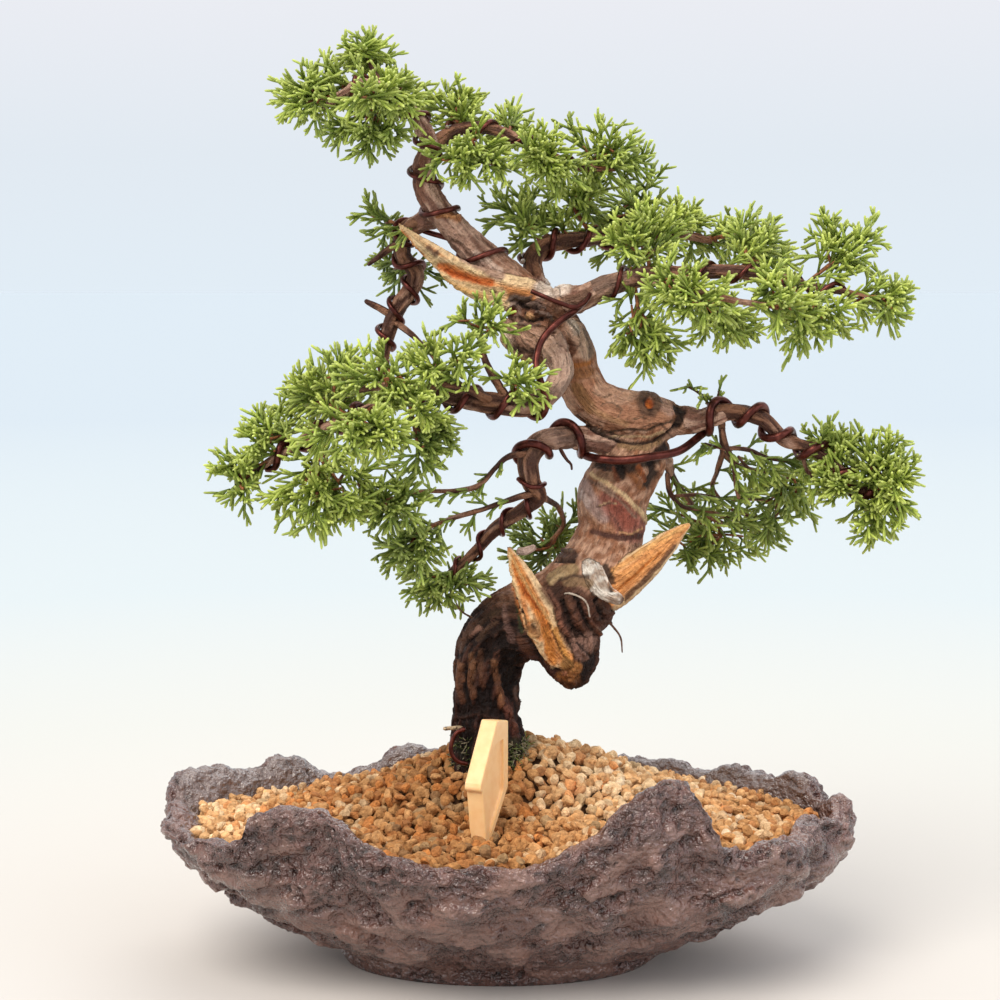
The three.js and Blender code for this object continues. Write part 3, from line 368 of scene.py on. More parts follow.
def stoneware():
    """Iron-brown stoneware, torn by hand: dull slip on its slabs, and glaze that shines where it tore."""
    made, tree, shader = finish_of("stoneware_torn_iron_glaze", IOR=1.55, Coat_Weight=0.8, Coat_Roughness=0.1)
    spot = node(tree, "TexCoord").outputs["Object"]
    read = lambda field: node(tree, "Attribute", attribute_name=field).outputs["Fac"]
    mixed = lambda share, a, b: node(
        tree, "Mix", {0: share, 6: a, 7: linear(b) if isinstance(b, str) else b}, data_type="RGBA",
    ).outputs[2]
    pit, torn, raised = read("pit"), read("torn"), read("raised")
    # clouds of colour some 20 mm wide, and specks of 1 mm
    clouds = node(tree, "TexNoise", {"Vector": spot, "Scale": 55.0, "Detail": 5.0, "Roughness": 0.65})
    specks = node(tree, "TexNoise", {"Vector": spot, "Scale": 900.0})
    body = node(
        tree, "ValToRGB", {"Fac": clouds.outputs["Fac"]},
        [(0.3, "#4d3029"), (0.72, "#825a4b"), (0.5, "#654238")],
    ).outputs["Color"]
    glazed = node(
        tree, "ValToRGB", {"Fac": clouds.outputs["Fac"]},
        [(0.32, "#4a2e29"), (0.7, "#7b564c"), (0.5, "#62413a")],
    ).outputs["Color"]
    tone = mixed(torn, body, glazed)
    tone = mixed(raised, tone, "#88675b")
    tone = mixed(read("inner"), tone, "#73615c")
    tone = mixed(pit, tone, "#24150f")
    speck = node(tree, "ValToRGB", {"Fac": specks.outputs["Fac"]}, [(0.62, "#000000"), (0.72, "#ffffff")])
    share = node(tree, "Math", {0: speck.outputs["Color"], 1: 0.22}, operation="MULTIPLY")
    tree.links.new(mixed(share.outputs[0], tone, "#a08d84"), shader.inputs["Base Color"])
    dull = node(
        tree, "MapRange",
        {"Value": clouds.outputs["Fac"], "From Min": 0.35, "From Max": 0.65, "To Min": 0.24, "To Max": 0.36},
    )
    shine = node(tree, "MapRange", {"Value": torn, "To Max": -0.06})
    gloss = node(tree, "Math", {0: dull.outputs["Result"], 1: shine.outputs["Result"]}, operation="ADD")
    tree.links.new(gloss.outputs[0], shader.inputs["Roughness"])
    # the clay's grit is finer than this, which is 3 mm wide so that it shows
    grit = node(tree, "TexNoise", {"Vector": spot, "Scale": 350.0})
    depth = node(tree, "MapRange", {"Value": torn, "To Min": 0.7}).outputs["Result"]
    bump = node(tree, "Bump", {"Height": grit.outputs["Fac"], "Strength": depth, "Distance": 0.0048})
    tree.links.new(bump.outputs["Normal"], shader.inputs["Normal"])
    tree.links.new(bump.outputs["Normal"], shader.inputs["Coat Normal"])
    return made


make_bowl()


# ---- gravel: a bed with its own grains of pumice, fired clay and river sand ----
SOIL_LEVEL, SOIL_SLOPE = 60, 0.03
MOUND, MOUND_X, MOUND_Y, PEAK = 30.5, 66, 48, (8, 26)
FOOT = (-4, 12)  # where the middle of the trunk enters the gravel
BED_AROUND, BED_FLOOR = 120, 44.0
BED_SUNK = 2.6  # millimetres from the gravel's level down to the bed
GRAIN_RADIUS = 3
GRAIN_KINDS, GRAIN_FLATS = 10, 7
GRAIN_SIZES = (0.83, 1.25)
BIG_GRAINS, BIGGER = 0.14, 1.2  # the share of grains that are larger, and by how much
GRAIN_GAP, GRAIN_STRAY = 4.7, 0.42  # millimetres from grain to grain, and the share of it that each strays
GRAIN_DEPTH = (-1.7, 0.3)  # from the gravel's level
UPPER_RISE = 2.7  # millimetres more for a grain that lies on the others
HEAP_BACK, BACK_RIM = 22, 60  # Y where the heap falls away, and where the rim at the back begins
DOUBLED, DOUBLED_BACK = 0.22, 0.4  # the share of grains that have another on top
ROOM, ROOM_BACK = 0.018, -0.03  # how far inside the wall a grain has to be
TRUNK_CLEAR = 12
# a grain's colour, and how often it comes in the usual gravel, where it is pale and where it is darker by the
# trunk
GRAIN_TONES = [
    ("#c88f58", 0.26, 0.13, 0.28),
    ("#b87542", 0.14, 0.02, 0.21),
    ("#dfab74", 0.22, 0.32, 0.16),
    ("#f0d2a8", 0.1, 0.36, 0.04),
    ("#a88f6b", 0.03, 0.02, 0.04),
    ("#785f47", 0.01, 0.0, 0.04),
    ("#d19a62", 0.17, 0.1, 0.12),
    ("#e08b46", 0.06, 0.02, 0.11),
    ("#f6e4c6", 0.01, 0.03, 0.0),
]


def soil_height(x, y):
    heap = MOUND * np.exp(-(((x - PEAK[0]) / MOUND_X) ** 2) - ((y - PEAK[1]) / MOUND_Y) ** 2)
    return SOIL_LEVEL - SOIL_SLOPE * y + heap


def inside_wall(x, y):
    """How far inside the bowl's inner face a place is, as a share of the way to it. Above 0 is inside."""
    bearing = np.arctan2(y / HALF_DEPTH, x / HALF_LENGTH)
    full = np.ones_like(bearing)
    high = np.clip(soil_height(x, y) / RIM_HEIGHT, 0, 0.93)
    face = bowl_at(bearing, (0.9 + 0.06 * smooth(high, 0.77, 0.93)) * full, WALL * full, high)
    reach = np.hypot(face[..., 0] / HALF_LENGTH, face[..., 1] / HALF_DEPTH)
    return reach - np.hypot(x / HALF_LENGTH, y / HALF_DEPTH)


def make_bed():
    """The bed that shows between the grains, closed underneath; its dark brown is painted shade for the gaps.
    """
    bearing = np.linspace(0, TURN, BED_AROUND, endpoint=False)
    full = np.ones(BED_AROUND)
    edge = bowl_at(bearing, 0.9 * full, (WALL + 0.4) * full, 0.77 * full)
    rows = []
    for share in (0, 0.5, 0.96):
        rows.append(np.stack([edge[:, 0] * share, edge[:, 1] * share, BED_FLOOR * full], axis=1))
    for share in (1, 0.98, 0.9, 0.8, 0.7, 0.6, 0.5, 0.4, 0.3, 0.2, 0.1, 0):
        x, y = edge[:, 0] * share, edge[:, 1] * share
        rows.append(np.stack([x, y, soil_height(x, y) - BED_SUNK], axis=1))
    piece = lay("gravel_bed", np.array(rows))
    points, facing = points_of(piece), facings_of(piece)
    top = facing[:, 2] > 0.3
    put_points(piece, points + np.outer(0.8 * rough(points, 4, 2, 3) * top, [0, 0, 1]))
    piece.data.materials.append(stony("bed_painted_gap_shade", 0.95, 3000.0))
    # painted shade: the bed is dark so that the gaps between the grains read as shade
    keep(piece.data, "tone", np.tile(linear("#52361f"), (len(points), 1)))
    return piece


def make_grain(seed):
    """One grain, some 6 mm across: a ball with flats broken off it."""
    rng = np.random.default_rng(seed)
    deselect()
    bpy.ops.mesh.primitive_ico_sphere_add(subdivisions=2, radius=GRAIN_RADIUS * MM)
    grain = bpy.context.object
    bpy.ops.object.mode_set(mode="EDIT")
    bpy.ops.transform.vertex_random(offset=0.3 * MM, seed=seed)
    bpy.ops.object.mode_set(mode="OBJECT")
    points, faces = shape_of(grain)
    for flat in unit(rng.normal(size=(GRAIN_FLATS, 3))):
        past = np.maximum(points @ flat - rng.uniform(1.4, 2.3), 0)
        points = points - 0.9 * np.outer(past, flat)
    return points, faces


def turned(rng, count):
    """Even random rotations."""
    q = unit(rng.normal(size=(count, 4)))
    w, x, y, z = q.T
    return np.stack([
        np.stack([1 - 2 * (y * y + z * z), 2 * (x * y - z * w), 2 * (x * z + y * w)], axis=1),
        np.stack([2 * (x * y + z * w), 1 - 2 * (x * x + z * z), 2 * (y * z - x * w)], axis=1),
        np.stack([2 * (x * z - y * w), 2 * (y * z + x * w), 1 - 2 * (x * x + y * y)], axis=1),
    ], axis=1)


def grain_spots(rng):
    """Where grains lie in plan, and which of them lie on the others."""
    xs, ys = np.meshgrid(np.arange(-160, 161, GRAIN_GAP), np.arange(-100, 101, GRAIN_GAP * 0.87))
    xs = xs + GRAIN_GAP / 2 * (np.arange(len(ys)) % 2)[:, None]
    spots = np.stack([xs.ravel(), ys.ravel()], axis=1)
    doubled = np.where(spots[:, 1] > HEAP_BACK, DOUBLED_BACK, DOUBLED)
    spots = np.concatenate([spots, spots[rng.random(len(spots)) < doubled]])
    upper = np.arange(len(spots)) >= xs.size
    spots += rng.uniform(-GRAIN_STRAY, GRAIN_STRAY, spots.shape) * GRAIN_GAP
    x, y = spots.T
    fits = inside_wall(x, y) > np.where(y > BACK_RIM, ROOM_BACK, ROOM)
    fits &= np.hypot(x - FOOT[0], y - FOOT[1]) > TRUNK_CLEAR
    return spots[fits], upper[fits]


def make_gravel():
    rng = np.random.default_rng(5)
    shapes = [make_grain(seed) for seed in range(GRAIN_KINDS)]
    spots, upper = grain_spots(rng)
    count = len(spots)
    size = rng.uniform(*GRAIN_SIZES, count) * np.where(rng.random(count) < BIG_GRAINS, BIGGER, 1)
    size = np.where(upper, np.minimum(size, 0.9), size)
    width, thickness = rng.uniform(0.8, 1, count), rng.uniform(0.65, 0.9, count)
    stretch = np.stack([np.full(count, 1.1), width, thickness], axis=1)
    turns = turned(rng, count)
    level = soil_height(*spots.T) + rng.uniform(*GRAIN_DEPTH, count) + np.where(upper, UPPER_RISE, 0)
    place = np.column_stack([spots, level])
    pick = rng.integers(len(shapes), size=count)
    tone = grain_tones(rng, place)
    points, faces, tones, begun = [], [], [], 0
    for i in range(count):
        grain, sides = shapes[pick[i]]
        points.append((grain * stretch[i] * size[i]) @ turns[i].T + place[i])
        faces.extend((np.array(sides) + begun).tolist())
        tones.append(np.tile(tone[i], (len(grain), 1)))
        begun += len(grain)
    piece = gathered("gravel_grains", np.concatenate(points), faces, tone=np.concatenate(tones))
    bpy.ops.object.shade_flat()
    piece.data.materials.append(stony("pumice_and_fired_clay", 0.88, 800.0))
    bed = make_bed()
    settle(piece, "gravel", "gravel")
    settle(bed, "gravel")


def grain_tones(rng, place):
    """A colour for each grain: pale at the far left, at the back and on the right, darker by the trunk."""
    palette = np.array([linear(tone) for tone, *_ in GRAIN_TONES])
    dry, light, near_trunk = np.array([shares for _, *shares in GRAIN_TONES]).T
    x, y = place[:, 0], place[:, 1]
    right = smooth(x, 8, 30) * (0.35 + 0.65 * smooth(y, -40, -8)) * (1 - 0.7 * smooth(x, 78, 104))
    pale = np.clip(smooth(-x, 88, 118) + right + smooth(y, 30, 60) * 0.35, 0, 1)
    darker_near_trunk = smooth(-x, -8, 12) * smooth(x, -90, -40)
    share = dry + pale[:, None] * (light - dry) + (darker_near_trunk * (1 - pale))[:, None] * (near_trunk - dry)
    reach = np.cumsum(share, axis=1) / share.sum(axis=1, keepdims=True)
    chosen = palette[(rng.random(len(place))[:, None] > reach).sum(axis=1).clip(0, len(palette) - 1)]
    usual_tone, pale_tone = np.array(linear("#c68f56")), np.array(linear("#e6c293"))
    chosen += 0.35 * (usual_tone + pale[:, None] * (pale_tone - usual_tone) - chosen)
    chosen[:, :3] *= 1 + 0.16 * pale[:, None]
    chosen[:, :3] *= rng.uniform(0.84, 1.16, (len(place), 1)) * (1 - 0.12 * darker_near_trunk * (1 - pale))[:, None]
    return chosen


def stony(name, roughness, grit_scale):
    """Porous grains, dry and dull: pumice, fired clay and coarse sand with a dust of the same."""
    made, tree, shader = finish_of(name, Roughness=roughness, IOR=1.45, Specular_IOR_Level=0.3)
    spot = node(tree, "TexCoord").outputs["Object"]
    tone = node(tree, "Attribute", attribute_name="tone").outputs["Color"]
    # a mottle some 2.5 mm wide
    mottle = node(tree, "TexNoise", {"Vector": spot, "Scale": 420.0, "Detail": 4.0, "Roughness": 0.7})
    shade = node(tree, "ValToRGB", {"Fac": mottle.outputs["Fac"]}, [(0.3, "#9d938a"), (0.66, "#ffffff")])
    mixed = node(
        tree, "Mix", {0: 0.85, 6: tone, 7: shade.outputs["Color"]},
        data_type="RGBA", blend_type="MULTIPLY",
    )
    tree.links.new(mixed.outputs[2], shader.inputs["Base Color"])
    grit = node(tree, "TexNoise", {"Vector": spot, "Scale": grit_scale})
    bump = node(tree, "Bump", {"Height": grit.outputs["Fac"], "Strength": 0.8, "Distance": 0.0012})
    tree.links.new(bump.outputs["Normal"], shader.inputs["Normal"])
    return made


make_gravel()


# ---- wood: [x, y, z, radius] along each limb, as in its solid ----
def traced(thick, thin, near, far, *pixels):
    """A twig through pixels of the photograph's frame. It runs from near to far, and from thick to thin."""
    share = np.linspace(0, 1, len(pixels))
    depths, radii = near + (far - near) * share, thick + (thin - thick) * share
    return [(*seen_at(*pixel, y), radius) for pixel, y, radius in zip(pixels, depths, radii)]


CORE = {
    "trunk_low": [
        (-4, 12, 60, 11), (-4, 12, 76, 16.5), (-5, 12, 90, 16), (-6, 12, 105, 14.2), (-6, 12, 122, 14),
        (-2, 10, 137, 14.8), (8, 4, 147, 16.5), (21, -3, 151, 18.5), (32, -4, 159, 18), (42, 0, 172, 16),
        (48, 4, 187, 14.2), (49, 6, 201, 15.5), (55, 6, 213, 14.5), (62, 5, 224, 13), (65, 4, 232, 11),
    ],
    "elbow": [(14, 2, 150, 14), (26, -3, 146, 16), (30, -6, 134, 12.5), (31, -7, 125, 7.5), (31, -7, 120, 3)],
    "trunk_high": [
        (79, 3, 233, 6.5), (70, 3, 235, 9.2), (59, 2, 237, 10), (46, 1, 240, 10.2), (38, 0, 245, 9.8),
        (33, 1, 255, 9.8), (30, 2, 266, 9.8), (21, 3, 277, 11), (8, 2, 290, 9), (-5, 0, 302, 7.4),
        (-16, 0, 313, 6.2), (-25, -2, 323, 5.6), (-31, -2, 333, 5.4), (-32, -2, 343, 4.8),
        (-30, -2, 351, 4.2), (-34, -4, 361, 3.4), (-44, -6, 371, 2.8), (-57, -6, 377, 2.2),
        (-66, -8, 372, 1.7), (-74, -10, 366, 1.2),
    ],
    "knot": [(26, 3, 276, 9), (14, 0, 281, 13.5), (7, -1, 286, 10)],
    "knot_low": [(9, -2, 276, 10), (17, -2, 271, 13.5), (25, -1, 268, 10.5)],
}
TORN = {
    "splinter_low": [
        (32, -10, 130, 6.4), (21.5, -18, 142, 6.9), (14.5, -23, 160, 5.7), (8, -26, 174, 4),
        (3, -27, 184, 1),
    ],
    "splinter_right": [
        (38, -4, 157, 9.5), (50, -9, 165, 9), (62, -12, 175, 7), (72, -13, 184.5, 4.6),
        (81, -14, 192, 1.1),
    ],
    "splinter_high": [
        (18, -3, 287, 8), (5, -7, 289, 7.4), (-8, -9, 292.5, 6.8), (-18, -10, 298, 5.6),
        (-30, -11, 307.5, 3.7), (-43, -12, 318, 0.9),
    ],
    "splinter_knot": [(8, -2, 278, 8), (6, -4, 270, 6), (14, -5, 263, 3.6), (21, -4, 258, 1.2)],
    "dead_stub": [(36, -8, 174, 6), (40, -17, 170, 4.6), (44, -21, 164, 3.8), (52, -24, 160, 2.4)],
}
BRANCHES = {
    "right_low": [
        (72, 4, 235, 8), (86, 0, 235, 4.3), (98, -4, 239, 3.6), (111, -6, 236, 3.2), (121, -6, 227, 3),
        (133, -8, 223, 2.8), (144, -8, 214, 2.5), (153, -8, 206, 2.1), (164, -10, 202, 1.7),
        (171, -12, 195, 1.1),
    ],
    "right_hang": [
        (94, -3, 237, 2.0), (96, 8, 229, 1.6), (97, 16, 220, 1.3), (96, 26, 211, 1.1), (95, 34, 202, 0.95),
        (105, 40, 192, 0.8), (122, 44, 187, 0.65),
    ],
    "right_hang_side": [(97, 16, 220, 1.1), (104, 20, 214, 1), (115, 26, 211, 0.85), (129, 30, 207, 0.65)],
    "back_right": [
        (60, 8, 222, 5), (72, 20, 217, 2.2), (76, 30, 209, 1.6), (84, 42, 197, 1.3), (92, 54, 189, 1.05),
        (106, 62, 183, 0.85), (120, 66, 180, 0.65),
    ],
    "left_low": [
        (50, 4, 226, 6), (39, -3, 227, 5.4), (28, -8, 228, 4.8), (17, -12, 226, 4.6), (12, -14, 219, 4.3),
        (13, -14, 210, 3.8), (16, -10, 203, 3.3), (9, -6, 196, 3), (-1, -2, 189, 2.8), (-9, 0, 180, 2.4),
        (-19, -2, 171, 1.9), (-29, -4, 164, 1.2),
    ],
    "left_twig_high": [
        (14, -14, 222, 1.8), (4, -19, 221, 1.4), (-2, -21, 216, 1.2), (-9, -24, 209, 1.1),
        (-19, -28, 207, 0.95), (-31, -30, 207, 0.8), (-43, -32, 205, 0.65),
    ],
    "left_twig_low": [
        (15, -12, 205, 1.8), (6, -17, 203, 1.4), (-6, -20, 199, 1.15), (-20, -22, 195, 0.9),
        (-34, -22, 190, 0.65),
    ],
    "back_low": [
        (15, -9, 203, 2), (21, 4, 200, 1.5), (26, 18, 195, 1.2), (28, 32, 186, 1), (20, 42, 175, 0.8),
    ],
    "left_mid": [
        (24, -1, 271, 6), (23, -13, 266, 5.4), (26, -21, 258, 4.8), (22, -27, 249, 4.6),
        (12, -30, 243, 4.4), (-4, -30, 244, 4.2), (-19, -30, 246, 3.8), (-33, -32, 248, 3.4),
        (-48, -32, 243, 3), (-64, -34, 237, 2.6), (-80, -36, 229, 2.1), (-95, -38, 220, 1.6),
        (-107, -40, 211, 1.1),
    ],
    "left_tuft": [(4, -30, 244, 2.4), (-1, -30, 252, 1.9), (-6, -28, 261, 1.6), (-8, -25, 270, 1.1)],
    "left_front": [
        (-4, -31, 245, 2.4), (-13, -40, 250, 2.1), (-26, -48, 252, 1.8), (-42, -56, 248, 1.4),
        (-56, -64, 240, 1),
    ],
    "left_back": [
        (-26, -31, 247, 2.4), (-36, -20, 251, 2), (-50, -8, 250, 1.7), (-66, 4, 246, 1.3),
        (-78, 12, 240, 1),
    ],
    "high_left": [
        (-22, -1, 322, 4.4), (-32, 6, 320, 3.9), (-41, 11, 315, 3.7), (-42, 15, 306, 3.7),
        (-37, 17, 298, 3.7), (-39, 18, 290, 3.7), (-45, 18, 282, 3.6), (-49, 18, 272, 3.3),
        (-51, 17, 262, 2.8), (-50, 14, 253, 2),
    ],
    "high_left_stub": [(-41, 12, 312, 2.2), (-48, 12, 308, 1.6), (-57, 11, 301, 0.9)],
    "bare_twig": [(-46, 17, 277, 1.8), (-38, 12, 271, 1.3), (-29, 8, 262, 1), (-26, 6, 254, 0.8)],
    "short_stub": [(-46, 18, 279, 2), (-53, 19, 283, 1.6), (-59, 20, 286, 1.1)],
    "right_high": [
        (22, 5, 284, 7.5), (34, -5, 287, 5.2), (44, -8, 292, 4.7), (59, -6, 296, 4), (76, -4, 297, 3.4),
        (93, -4, 298, 3), (110, -4, 297, 2.6), (127, -6, 293, 2.2), (144, -8, 290, 1.7), (160, -10, 286, 1.1),
    ],
    "right_front": [
        (52, -8, 294, 2.6), (62, -22, 294, 2.2), (76, -36, 291, 1.8), (92, -48, 287, 1.3),
        (108, -54, 284, 1),
    ],
    "back_high": [
        (20, 8, 285, 5), (16, 18, 293, 4.2), (14, 22, 303, 4), (20, 25, 310, 3.8), (31, 29, 312, 3.4),
        (44, 34, 313, 3), (62, 39, 315, 2.5), (79, 43, 315, 2), (97, 46, 312, 1.4),
    ],
    "crown_right": [
        (-31, -2, 349, 3.6), (-19, 4, 358, 2.9), (-6, 8, 359, 2.6), (9, 10, 354, 2.2), (21, 10, 348, 1.9),
        (34, 10, 343, 1.5), (50, 10, 342, 1),
    ],
    "crown_top": [(-44, -6, 371, 2.2), (-52, -2, 380, 1.7), (-56, 1, 389, 1)],
    "fine_upright": traced(0.8, 0.5, -1, -4, (710, 410), (706, 400), (698, 392), (688, 387)),
    "fine_upright_side": traced(0.6, 0.4, -2, 2, (716, 412), (717, 401), (719, 391)),
    "fine_stem": traced(1.4, 0.7, -3, 6, (722, 428), (726, 446), (733, 462), (735, 482), (739, 499)),
    "fine_left": traced(0.8, 0.45, 0, 4, (727, 450), (716, 447), (704, 443)),
    "fine_long": traced(1.1, 0.5, 0, 10, (727, 448), (748, 450), (772, 459), (790, 461), (806, 459)),
    "fine_long_low": traced(0.8, 0.4, 2, 12, (738, 456), (746, 466), (756, 471), (772, 472)),
    "fine_back": traced(
        1.3, 0.5, 18, 30, (667, 472), (670, 493), (684, 507), (708, 511), (732, 519), (754, 521),
    ),
    "fine_cross": traced(0.9, 0.4, 16, 26, (674, 496), (700, 495), (728, 499), (764, 500)),
    "fine_outer": traced(1.0, 0.5, -8, -4, (802, 456), (808, 472), (820, 481), (833, 481)),
    "fine_loop": traced(0.9, 0.5, -10, -15, (557, 434), (560, 448), (566, 459), (571, 464), (572, 470)),
}
LIMBS = {**CORE, **TORN, **BRANCHES}


def stations(route, count):
    """Evenly spaced stations on a smooth line through a route: place, direction, front, side, radius, run."""
    course = np.array(route, float)
    last = len(course) - 1
    line = np.vstack([2 * course[0] - course[1], course, 2 * course[-1] - course[-2]])[:, :3]

    def place(t):
        spot = np.clip(t, 0, 1) * last
        k = np.minimum(spot.astype(int), last - 1)
        w = (spot - k)[:, None]
        p0, p1, p2, p3 = (line[k + i] for i in range(4))
        a, b = (p2 - p0) / 2, (p3 - p1) / 2
        return p1 + a * w + (3 * (p2 - p1) - 2 * a - b) * w**2 + (2 * (p1 - p2) + a + b) * w**3

    fine = np.linspace(0, 1, 401)
    run = np.concatenate([[0], np.cumsum(np.linalg.norm(np.diff(place(fine), axis=0), axis=1))])
    t = np.interp(np.linspace(0, run[-1], count + 1), run, fine)
    along = unit(place(t + 1e-3) - place(t - 1e-3))
    front, fronts = np.array([0.0, -1.0, 0.0]), []
    for tangent in along:
        front = unit(front - front @ tangent * tangent)
        fronts.append(front)
    fronts = np.array(fronts)
    radius = np.interp(t * last, np.arange(last + 1), course[:, 3])
    return place(t), along, fronts, np.cross(fronts, along), radius, np.linspace(0, run[-1], count + 1)


def length_of(route):
    return np.linalg.norm(np.diff(np.array(route)[:, :3], axis=0), axis=1).sum()


STATION_GAP = 1.5  # millimetres along a limb between the places that its grain is told by
AT_ONCE = 4000  # points worked out together, which keeps the tables small
# share of the end's radius back from the end, share of the full radius there
ROUNDING = ((0, 0.0), (0.15, 0.55), (0.5, 0.86), (1, 1.0))


def round_limb(name, route, around, spacing, flat=1.0, relief=None):
    """A limb laid round its route, with rounded ends, and its grain kept as a straightened cylinder."""
    count = max(6, int(length_of(route) / spacing))
    place, _, front, side, radius, run = stations(route, count)
    steps = np.arange(count + 1)
    head = [np.interp(share * radius[0], run, steps) for share, _ in ROUNDING]
    tail = [np.interp(run[-1] - share * radius[-1], run, steps) for share, _ in ROUNDING[::-1]]
    middle = np.arange(int(head[-1]) + 1, int(np.ceil(tail[0])))
    spots = np.concatenate([head, middle, tail])
    scale = np.concatenate([[s for _, s in ROUNDING], np.ones(len(middle)), [s for _, s in ROUNDING[::-1]]])
    read = lambda values: np.stack([np.interp(spots, steps, column) for column in values.T], axis=1)
    place, front, side = read(place), unit(read(front)), unit(read(side))
    radius, run = np.interp(spots, steps, radius), np.interp(spots, steps, run)
    angle = np.linspace(0, TURN, around, endpoint=False)
    cos, sin = np.cos(angle)[None, :, None], np.sin(angle)[None, :, None]
    thick, far = radius[:, None, None], np.repeat(run[:, None, None], around, axis=1)
    grain = np.concatenate([thick * cos, thick * sin, far], axis=2)
    reach = np.repeat(radius[:, None], around, axis=1)
    if relief:
        reach = reach + relief(grain, radius[:, None])
    reach = reach * scale[:, None]
    rows = place[:, None] + reach[..., None] * (flat * cos * front[:, None] + sin * side[:, None])
    return lay(name, rows, grain=grain)


def join(pieces, name):
    select_only(pieces[0])
    for piece in pieces:
        piece.select_set(True)
    bpy.ops.object.join()
    joined = bpy.context.object
    joined.name = joined.data.name = name
    return joined


def apply_modifier(piece, kind, **settings):
    select_only(piece)
    bpy.ops.object.modifier_add(type=kind)
    modifier = piece.modifiers[-1]
    for key, value in settings.items():
        setattr(modifier, key, value)
    bpy.ops.object.modifier_apply(modifier=modifier.name)


def grain_of(points, routes):
    """Where points on joined limbs lie on the straightened limb, which limb that is, and how far along it."""
    parts = []
    for number, route in enumerate(routes.values()):
        count = int(length_of(route) / STATION_GAP)
        place, along, front, side, radius, run = stations(route, count)
        parts.append(np.column_stack([place, along, front, side, radius, run, np.full(count + 1, number)]))
    table = np.concatenate(parts)
    nearest = np.empty(len(points), int)
    for start in range(0, len(points), AT_ONCE):
        some = slice(start, start + AT_ONCE)
        apart = np.linalg.norm(points[some, None] - table[None, :, :3], axis=2)
        nearest[some] = (apart - table[:, 12]).argmin(axis=1)
    at = table[nearest]
    past = points - at[:, :3]
    across = np.stack([(past * at[:, 6:9]).sum(1), (past * at[:, 9:12]).sum(1)], axis=1)
    run = at[:, 13] + (past * at[:, 3:6]).sum(1)
    around = unit(across) * at[:, [12]]
    return np.column_stack([around, run]), at[:, 14].astype(int), run


def fibre(grain, width, stretch, seed, octaves=3, twist=0.0):
    """Noise drawn out along the grain, with fibres that many millimetres wide, turned twist radians a mm."""
    x, y, run = np.moveaxis(grain, -1, 0)
    cos, sin = np.cos(twist * run), np.sin(twist * run)
    spot = np.stack([cos * x - sin * y, sin * x + cos * y, run / stretch], axis=-1)
    return rough(spot, width, octaves, seed)


